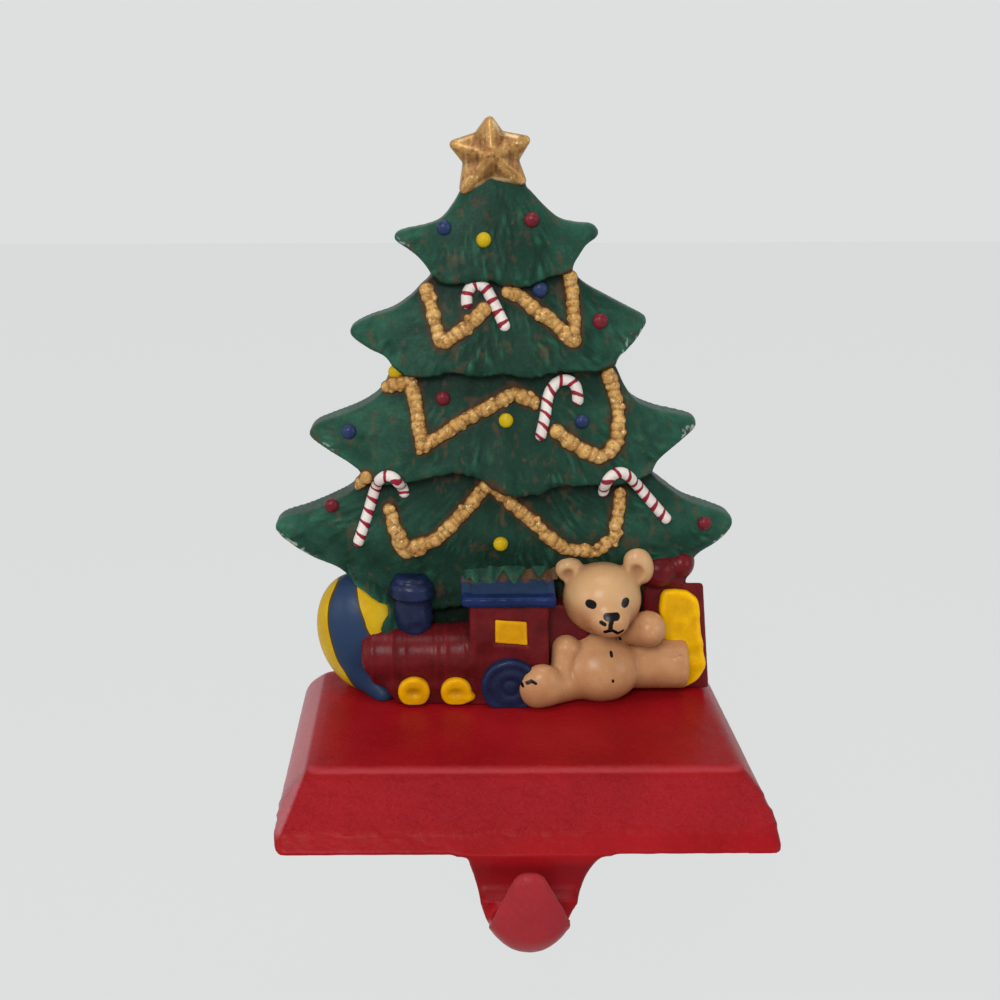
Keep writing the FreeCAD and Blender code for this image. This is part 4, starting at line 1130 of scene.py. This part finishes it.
# Wrapped gift
giftShape = {
    "box": ((30.8, 47.2, 12), (47.9, 57.2, 42.4)), "lean": 0.11, "step": 0.38,
    "loops": [((39.7, 50.2, 46.7), (3.7, 5.0, 4.2), 10), ((34.2, 50.6, 45.4), (5.4, 6.6, 5.0), -12)],
    "knot": ((38.2, 49.0, 43.0), (3.2, 3.0, 2.4)),
    "ribbonFront": 45.8, "ribbonLumps": 0.2, "ribbonStep": 0.35,
}
ribbonOutline = [(35.1, 39.1), (36.1, 40.7), (39.2, 40.8), (43.1, 39.3), (44.7, 35.7), (45.7, 28.2),
                 (46.7, 22.9), (46.9, 19.8), (45.8, 17.3), (43.4, 15.4), (40.0, 15.0), (39.5, 22.9),
                 (38.5, 26.0), (35.5, 28.5), (35.4, 32.8), (34.9, 35.8)]


def giftField(x, y, z):
    low, high = giftShape["box"]
    lean = (z - 20) * giftShape["lean"] * ramp(x, 36, 8)                      # the right side leans in
    box = roundBox(x + lean, y, z, low, high, 1.0)
    top = (z - high[2]) * 0.86 + (y - low[1] - 0.6) * 0.5                     # the top falls to the back
    box = smoothMax(box, top, 1.0)
    bow = smoothMin(*[ball(x, y, z, *loop) for loop in giftShape["loops"]], 0.9)
    bow = smoothMin(bow, ball(x, y, z, *giftShape["knot"]), 0.6)
    return standing(smoothMin(box, bow, 0.5), y, z, 0.4)


def ribbonField(x, y, z):
    flatX, flatZ = frontView(x, z)
    side = outlineDistance(curveThrough(ribbonOutline + ribbonOutline[:1], 4), flatX, flatZ)[:, None, :]
    lumps = noiseGrid(flatX / 2.3 + 25, flatZ / 2.7 + 25, 74)[:, None, :] * giftShape["ribbonLumps"]
    face = smoothMax(side + lumps, giftShape["ribbonFront"] + lumps - y, 1.0)
    return smoothMax(face, np.maximum(y - 50, seat - z), 0.5)


print("wrapping the gift")
gift = fieldMesh("gift_box", giftField, (30, 45, 14), (49.5, 57, 50), giftShape["step"])
store(gift, "hollow", cavity(gift, 6))
dress(gift, maroonPaint)
ribbon = fieldMesh("gift_ribbon", ribbonField, (33.5, 44.5, 13.5), (47.5, 51, 44.5), giftShape["ribbonStep"])
store(ribbon, "hollow", cavity(ribbon, 6))
ribbonPaint = paint("bright yellow enamel", "#F2BC04", "#E3A802", "#F4D02C", duller)
dress(ribbon, ribbonPaint)


# Base and hook
baseShape = {
    "halfFoot": 54.0, "halfTop": 47.2, "front": -5.2, "back": 66.9, "topFront": 7.6, "topBack": 58.9,
    "foot": 1.0, "top": 14.3, "corner": 2.2, "topRound": 1.5, "footRound": 0.4,
    "wall": 5.5, "hookWall": 11.0, "ceiling": 9.1,
    "draft": 3.5, "step": 0.55, "grain": 0.28, "swell": (2.8, 1.8, 1.6),
}
hookShape = {"backDepth": -8.6, "lipBack": -7.6, "frontEnd": -17.5, "lowEnd": -17.9, "ridgeX": -0.3,
             "ridge": 0.045, "ridgeReach": 60}
hookProfile = [(2, 4), (0, 2.5), (0, -7.5), (-1.4, -13.4), (-5.2, -17.0), (-9.2, -18.1), (-13.4, -16.6),
               (-16.6, -12.6), (-17.6, -8.6), (-16.6, -1.5), (-15.6, 2.4), (-14.6, 3.3), (-13.6, 2.4),
               (-13.0, -1.0), (-12.6, -5.2), (-11.2, -7.2), (-9.0, -7.7), (-6.6, -6.9), (-5.3, -4.4),
               (-5.2, 0.6), (-4.0, 1.8), (-1.0, 4)]
tongueOutline = [(-17, 8), (-16.4, 1.0), (-13.4, 0.0), (-12.2, -3.0), (-10.4, -8.6), (-8.8, -13.0),
                 (-5.0, -17.0), (-0.3, -18.4), (4.4, -17.2), (7.8, -13.0), (10.4, -8.6), (12.9, -3.4),
                 (15.4, 0.0), (18.4, 1.0), (18.8, 8)]
lipOutline = [(-9.2, -8.6), (-8.6, -5.2), (-6.6, -2.4), (-5.0, 0.6), (-3.8, 2.8), (-2.2, 4.0), (-0.5, 4.2),
              (1.2, 3.9), (2.6, 2.7), (3.9, 0.4), (5.6, -2.4), (7.6, -4.8), (8.8, -8.0), (7.4, -12.8),
              (3.8, -17.2), (-0.3, -18.6), (-4.8, -17.0), (-8.2, -12.8)]


def hookField(x, y, z):
    shape = hookShape
    flatX, flatZ = frontView(x, z)
    flatY, sideZ = [v[0] for v in np.broadcast_arrays(y, z)]
    profile = outlineDistance(curveThrough(hookProfile + hookProfile[:1], 3), flatY, sideZ)[None, :, :]
    tongue = outlineDistance(curveThrough(tongueOutline, 3), flatX, flatZ)[:, None, :]
    lip = outlineDistance(curveThrough(lipOutline + lipOutline[:1], 3), flatX, flatZ)[:, None, :]
    back = smoothMax(smoothMax(profile, tongue, 1.6), shape["backDepth"] - y, 1.0)
    ridge = shape["ridge"] * np.minimum((x - shape["ridgeX"]) ** 2, shape["ridgeReach"])
    thumb = smoothMax(smoothMax(profile - 0.3 + ridge, lip - 0.3, 3.4), y - shape["lipBack"], 1.0)
    thumb = np.maximum(thumb, np.maximum(shape["frontEnd"] - y, shape["lowEnd"] - z))
    return smoothMin(back, thumb, 1.2)


def slopeField(past, run, rise):
    # Field of a sloping face, from how far past it a point lies level
    return past / math.hypot(1, run / rise)


def baseField(x, y, z):
    s = baseShape
    rise = s["top"] - s["foot"]
    share = (z - s["foot"]) / rise
    halfRun = s["halfTop"] - s["halfFoot"]
    frontRun, backRun = s["topFront"] - s["front"], s["topBack"] - s["back"]
    bulge = 4 * np.clip(share, 0, 1) * (1 - np.clip(share, 0, 1))                # the sides are a little full
    fuller = np.where(x < 0, s["swell"][0], s["swell"][1]) * bulge
    side = slopeField(np.abs(x) - (s["halfFoot"] + halfRun * share) - fuller, halfRun, rise)
    front = slopeField((s["front"] + frontRun * share) - y, frontRun, rise)
    back = slopeField(y - (s["back"] + backRun * share) - s["swell"][2] * bulge, backRun, rise)
    around = smoothMax(side, smoothMax(front, back, 0.1), s["corner"])
    body = smoothMax(around, z - s["top"], s["topRound"])
    body = smoothMax(body, s["foot"] - z, s["footRound"])
    body = smoothMin(body, hookField(x, y, z), np.clip(1.6 - z, 0.3, 1.6))
    body = np.maximum(body, np.minimum(s["foot"] - z, y))
    hollowFront, hollowBack = s["front"] + s["hookWall"], s["back"] - s["wall"]
    inside = np.maximum(np.abs(x) - (s["halfFoot"] - s["wall"]), np.maximum(hollowFront - y, y - hollowBack))
    inside = smoothMax(inside + np.maximum(share, 0) * s["draft"], z - s["ceiling"], 1.5)
    body = smoothMax(body, -inside, 0.8)
    down = z * 1.4 + y
    slab = noiseGrid(x / 2.8 + 70, down / 2.4 + 70, 17) + 0.6 * noiseGrid(x / 1.4, down / 1.4, 19)
    rough = ramp(z, 3.5, 2) * ramp(z, 13.4, -1.5) * ramp(y, 9, -2)
    body = body + slab * s["grain"] * (0.12 + rough)
    return np.maximum(body, np.maximum(x - s["halfFoot"], y - s["back"]) + 0.05)


print("casting the base and hook")
base = fieldMesh("base_and_hook", baseField, (-55.4, -17.8, -18.2), (54.4, 67.2, 14.5), baseShape["step"])
store(base, "hollow", cavity(base, 6))
baseX, baseY, baseZ = places(base).T
sandy = ramp(baseZ, 4.0, 2) * ramp(baseZ, 13.6, -1.2) * ramp(baseY, 10, -2)
store(base, "sand", 0.12 + 0.88 * sandy)
leftBevel = np.clip((-baseX - 47.4 + (14.3 - baseZ) * -0.49) / 0.8, 0, 1)
store(base, "sheen", leftBevel * ramp(baseZ, 2, 3))
# painted highlight with wear: a lighter line along the front top edge
store(base, "edge", np.exp(-((baseZ - 13.9) / 0.45) ** 2) * ramp(baseY, 12, -3) * (baseY > 4))
# painted shade: the hook's tongue darkened behind the lip
store(base, "behind", ramp(baseZ, 1.0, -3) * ramp(baseY, -9.5, 2))
# painted highlight: the front of the lip lighter and pinker
store(base, "lip", ramp(baseY, -11.5, -2) * ramp(baseZ, 4.5, -1))
redPaint = paint("red enamel over sand-cast iron", "#931319", "#860F15", "#A32027", {
    "driftSize": 16, "grainSize": 1.0, "lightShare": 0.35, "rough": 0.3, "bump": 1.0, "bumpBy": "sand",
    "bumpDepth": 0.7, "ragged": 0.3, "shine": 0.07,
    "layers": [("sand", 0.7, 1.4, 0.25, "#A92C36"), ("sheen", 0.5, 1.2, 0.45, "#C08A90"),
               ("edge", 0.5, 1.2, 0.5, "#B8474D"), ("behind", 0.5, 1.2, 0.5, "#560C12"),
               ("lip", 0.5, 1.3, 0.16, "#B2626C")],
    "spots": [(0.6, 0.76, 0.5, "#C9777C", 1.0)]})
dress(base, redPaint, "base_with_hook")


# Screws and pads, under the base
def plainSteel():
    # Zinc-plated steel: bright, faintly grained
    material, tree = emptyMaterial("zinc-plated steel")
    place = node(tree, "ShaderNodeTexCoord", (-4, 0)).outputs["Object"]
    grain = node(tree, "ShaderNodeTexNoise", (-3, 0), None,
                 {"Vector": place, "Scale": 1 / (1.1 * mm), "Detail": 3.0}).outputs["Fac"]
    tone = node(tree, "ShaderNodeMix", (-1, 0), {"data_type": "RGBA"},
                {"Factor": grain, "A": linear("#8C8F91"), "B": linear("#B9BBBC")})
    rough = node(tree, "ShaderNodeMapRange", (-1, 1), None, {"Value": grain, "To Min": 0.22, "To Max": 0.45})
    shader = node(tree, "ShaderNodeBsdfPrincipled", (1, 0), None,
                  {"Base Color": tone.outputs["Result"], "Roughness": rough.outputs["Result"],
                   "Metallic": 1.0})
    node(tree, "ShaderNodeOutputMaterial", (3, 0), None, {"Surface": shader.outputs["BSDF"]})
    return material


def feltMaterial():
    # Pressed wool felt: matt, mottled and fuzzy
    return paint("dark wool felt", "#2C2E2D", "#212322", "#4A4C4A",
                 {"driftSize": 1.2, "grainSize": 0.35, "rough": 0.95, "bump": 0.8, "bumpDepth": 0.3})


for nodeName, material in (("figure_screws", plainSteel()), ("felt_pads", feltMaterial())):
    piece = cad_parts[nodeName]
    piece.data.materials.clear()
    piece.data.materials.append(material)


# Camera, lights and floor
stageLook = {
    "floorZ": -0.13, "floorHalf": 3, "white": "#DEE0E0", "even": 0.93, "fill": 0.36,
    "cameraAt": (-0.018879, -0.226155, 0.147012), "cameraTurn": (73.0323, 0.107, -0.3011),
    "lens": 43.3175, "sensor": 36, "shift": 0.05593,
    "aim": (0, 0.02, 0.06), "lampSize": 0.4,
    "lamps": [("overhead", (0.0, -0.05, 0.85), 1.7), ("front box", (-0.25, -0.85, 0.65), 6.4),
              ("left box", (-0.8, -0.4, 0.35), 2.0), ("right box", (0.8, -0.5, 0.3), 1.7)],
}


def straightRays(tree):
    # 1 where the backdrop is seen straight on, in a reflection or through glass, 0 where it only gives light
    rays = node(tree, "ShaderNodeLightPath", (-4, 0)).outputs
    both = node(tree, "ShaderNodeMath", (-3, 0), {"operation": "MAXIMUM"},
                {0: rays["Is Camera Ray"], 1: rays["Is Glossy Ray"]})
    return node(tree, "ShaderNodeMath", (-2, 0), {"operation": "MAXIMUM"},
                {0: both.outputs[0], 1: rays["Is Transmission Ray"]}).outputs[0]


def makeCamera(scene):
    look = stageLook
    camera = placed("camera", bpy.data.cameras.new("camera"))
    camera.location = look["cameraAt"]
    camera.rotation_euler = [math.radians(a) for a in look["cameraTurn"]]
    camera.data.sensor_width = look["sensor"]
    camera.data.lens = look["lens"]
    camera.data.shift_x = look["shift"]
    camera.data.clip_start = 0.01
    scene.camera = camera
    scene.view_settings.view_transform = "Standard"


def makeFloor():
    # Paper that looks the same white all over and still takes a soft shadow
    backdrop, tree = emptyMaterial("white paper sweep")
    white = linear(stageLook["white"])
    even = node(tree, "ShaderNodeMath", (0, -1), {"operation": "MULTIPLY"},
                {0: straightRays(tree), 1: stageLook["even"]})
    paper = node(tree, "ShaderNodeBsdfDiffuse", (0, 0), None, {"Color": white})
    glow = node(tree, "ShaderNodeEmission", (0, 1), None, {"Color": white, "Strength": 1.0})
    both = node(tree, "ShaderNodeMixShader", (1, 0), None,
                {0: even.outputs[0], 1: paper.outputs["BSDF"], 2: glow.outputs[0]})
    node(tree, "ShaderNodeOutputMaterial", (2, 0), None, {"Surface": both.outputs[0]})
    half, z = stageLook["floorHalf"], stageLook["floorZ"]
    mesh = bpy.data.meshes.new("floor")
    corners = [(-half, -half, z), (half, -half, z), (half, half, z), (-half, half, z)]
    mesh.from_pydata(corners, [], [(0, 1, 2, 3)])
    floor = finishMesh("floor", mesh, 0)
    floor.data.materials.append(backdrop)


def makeWorld(scene):
    world = bpy.data.worlds.new("studio")
    scene.world = world
    world.use_nodes = True
    tree = world.node_tree
    tree.nodes.clear()
    seen = node(tree, "ShaderNodeBackground", (0, 0), None,
                {"Color": linear(stageLook["white"]), "Strength": 1.0})
    fill = node(tree, "ShaderNodeBackground", (0, 1), None,
                {"Color": linear("#FFFFFF"), "Strength": stageLook["fill"]})
    both = node(tree, "ShaderNodeMixShader", (1, 0), None,
                {0: straightRays(tree), 1: fill.outputs[0], 2: seen.outputs[0]})
    node(tree, "ShaderNodeOutputWorld", (2, 0), None, {"Surface": both.outputs[0]})


def makeLamps():
    for name, place, power in stageLook["lamps"]:
        lamp = placed(name, bpy.data.lights.new(name, "AREA"))
        lamp.location = place
        lamp.rotation_euler = (Vector(stageLook["aim"]) - Vector(place)).to_track_quat("-Z", "Y").to_euler()
        lamp.data.size = stageLook["lampSize"]
        lamp.data.energy = power


print("setting the stage")
makeCamera(bpy.context.scene)
makeFloor()
makeWorld(bpy.context.scene)
makeLamps()
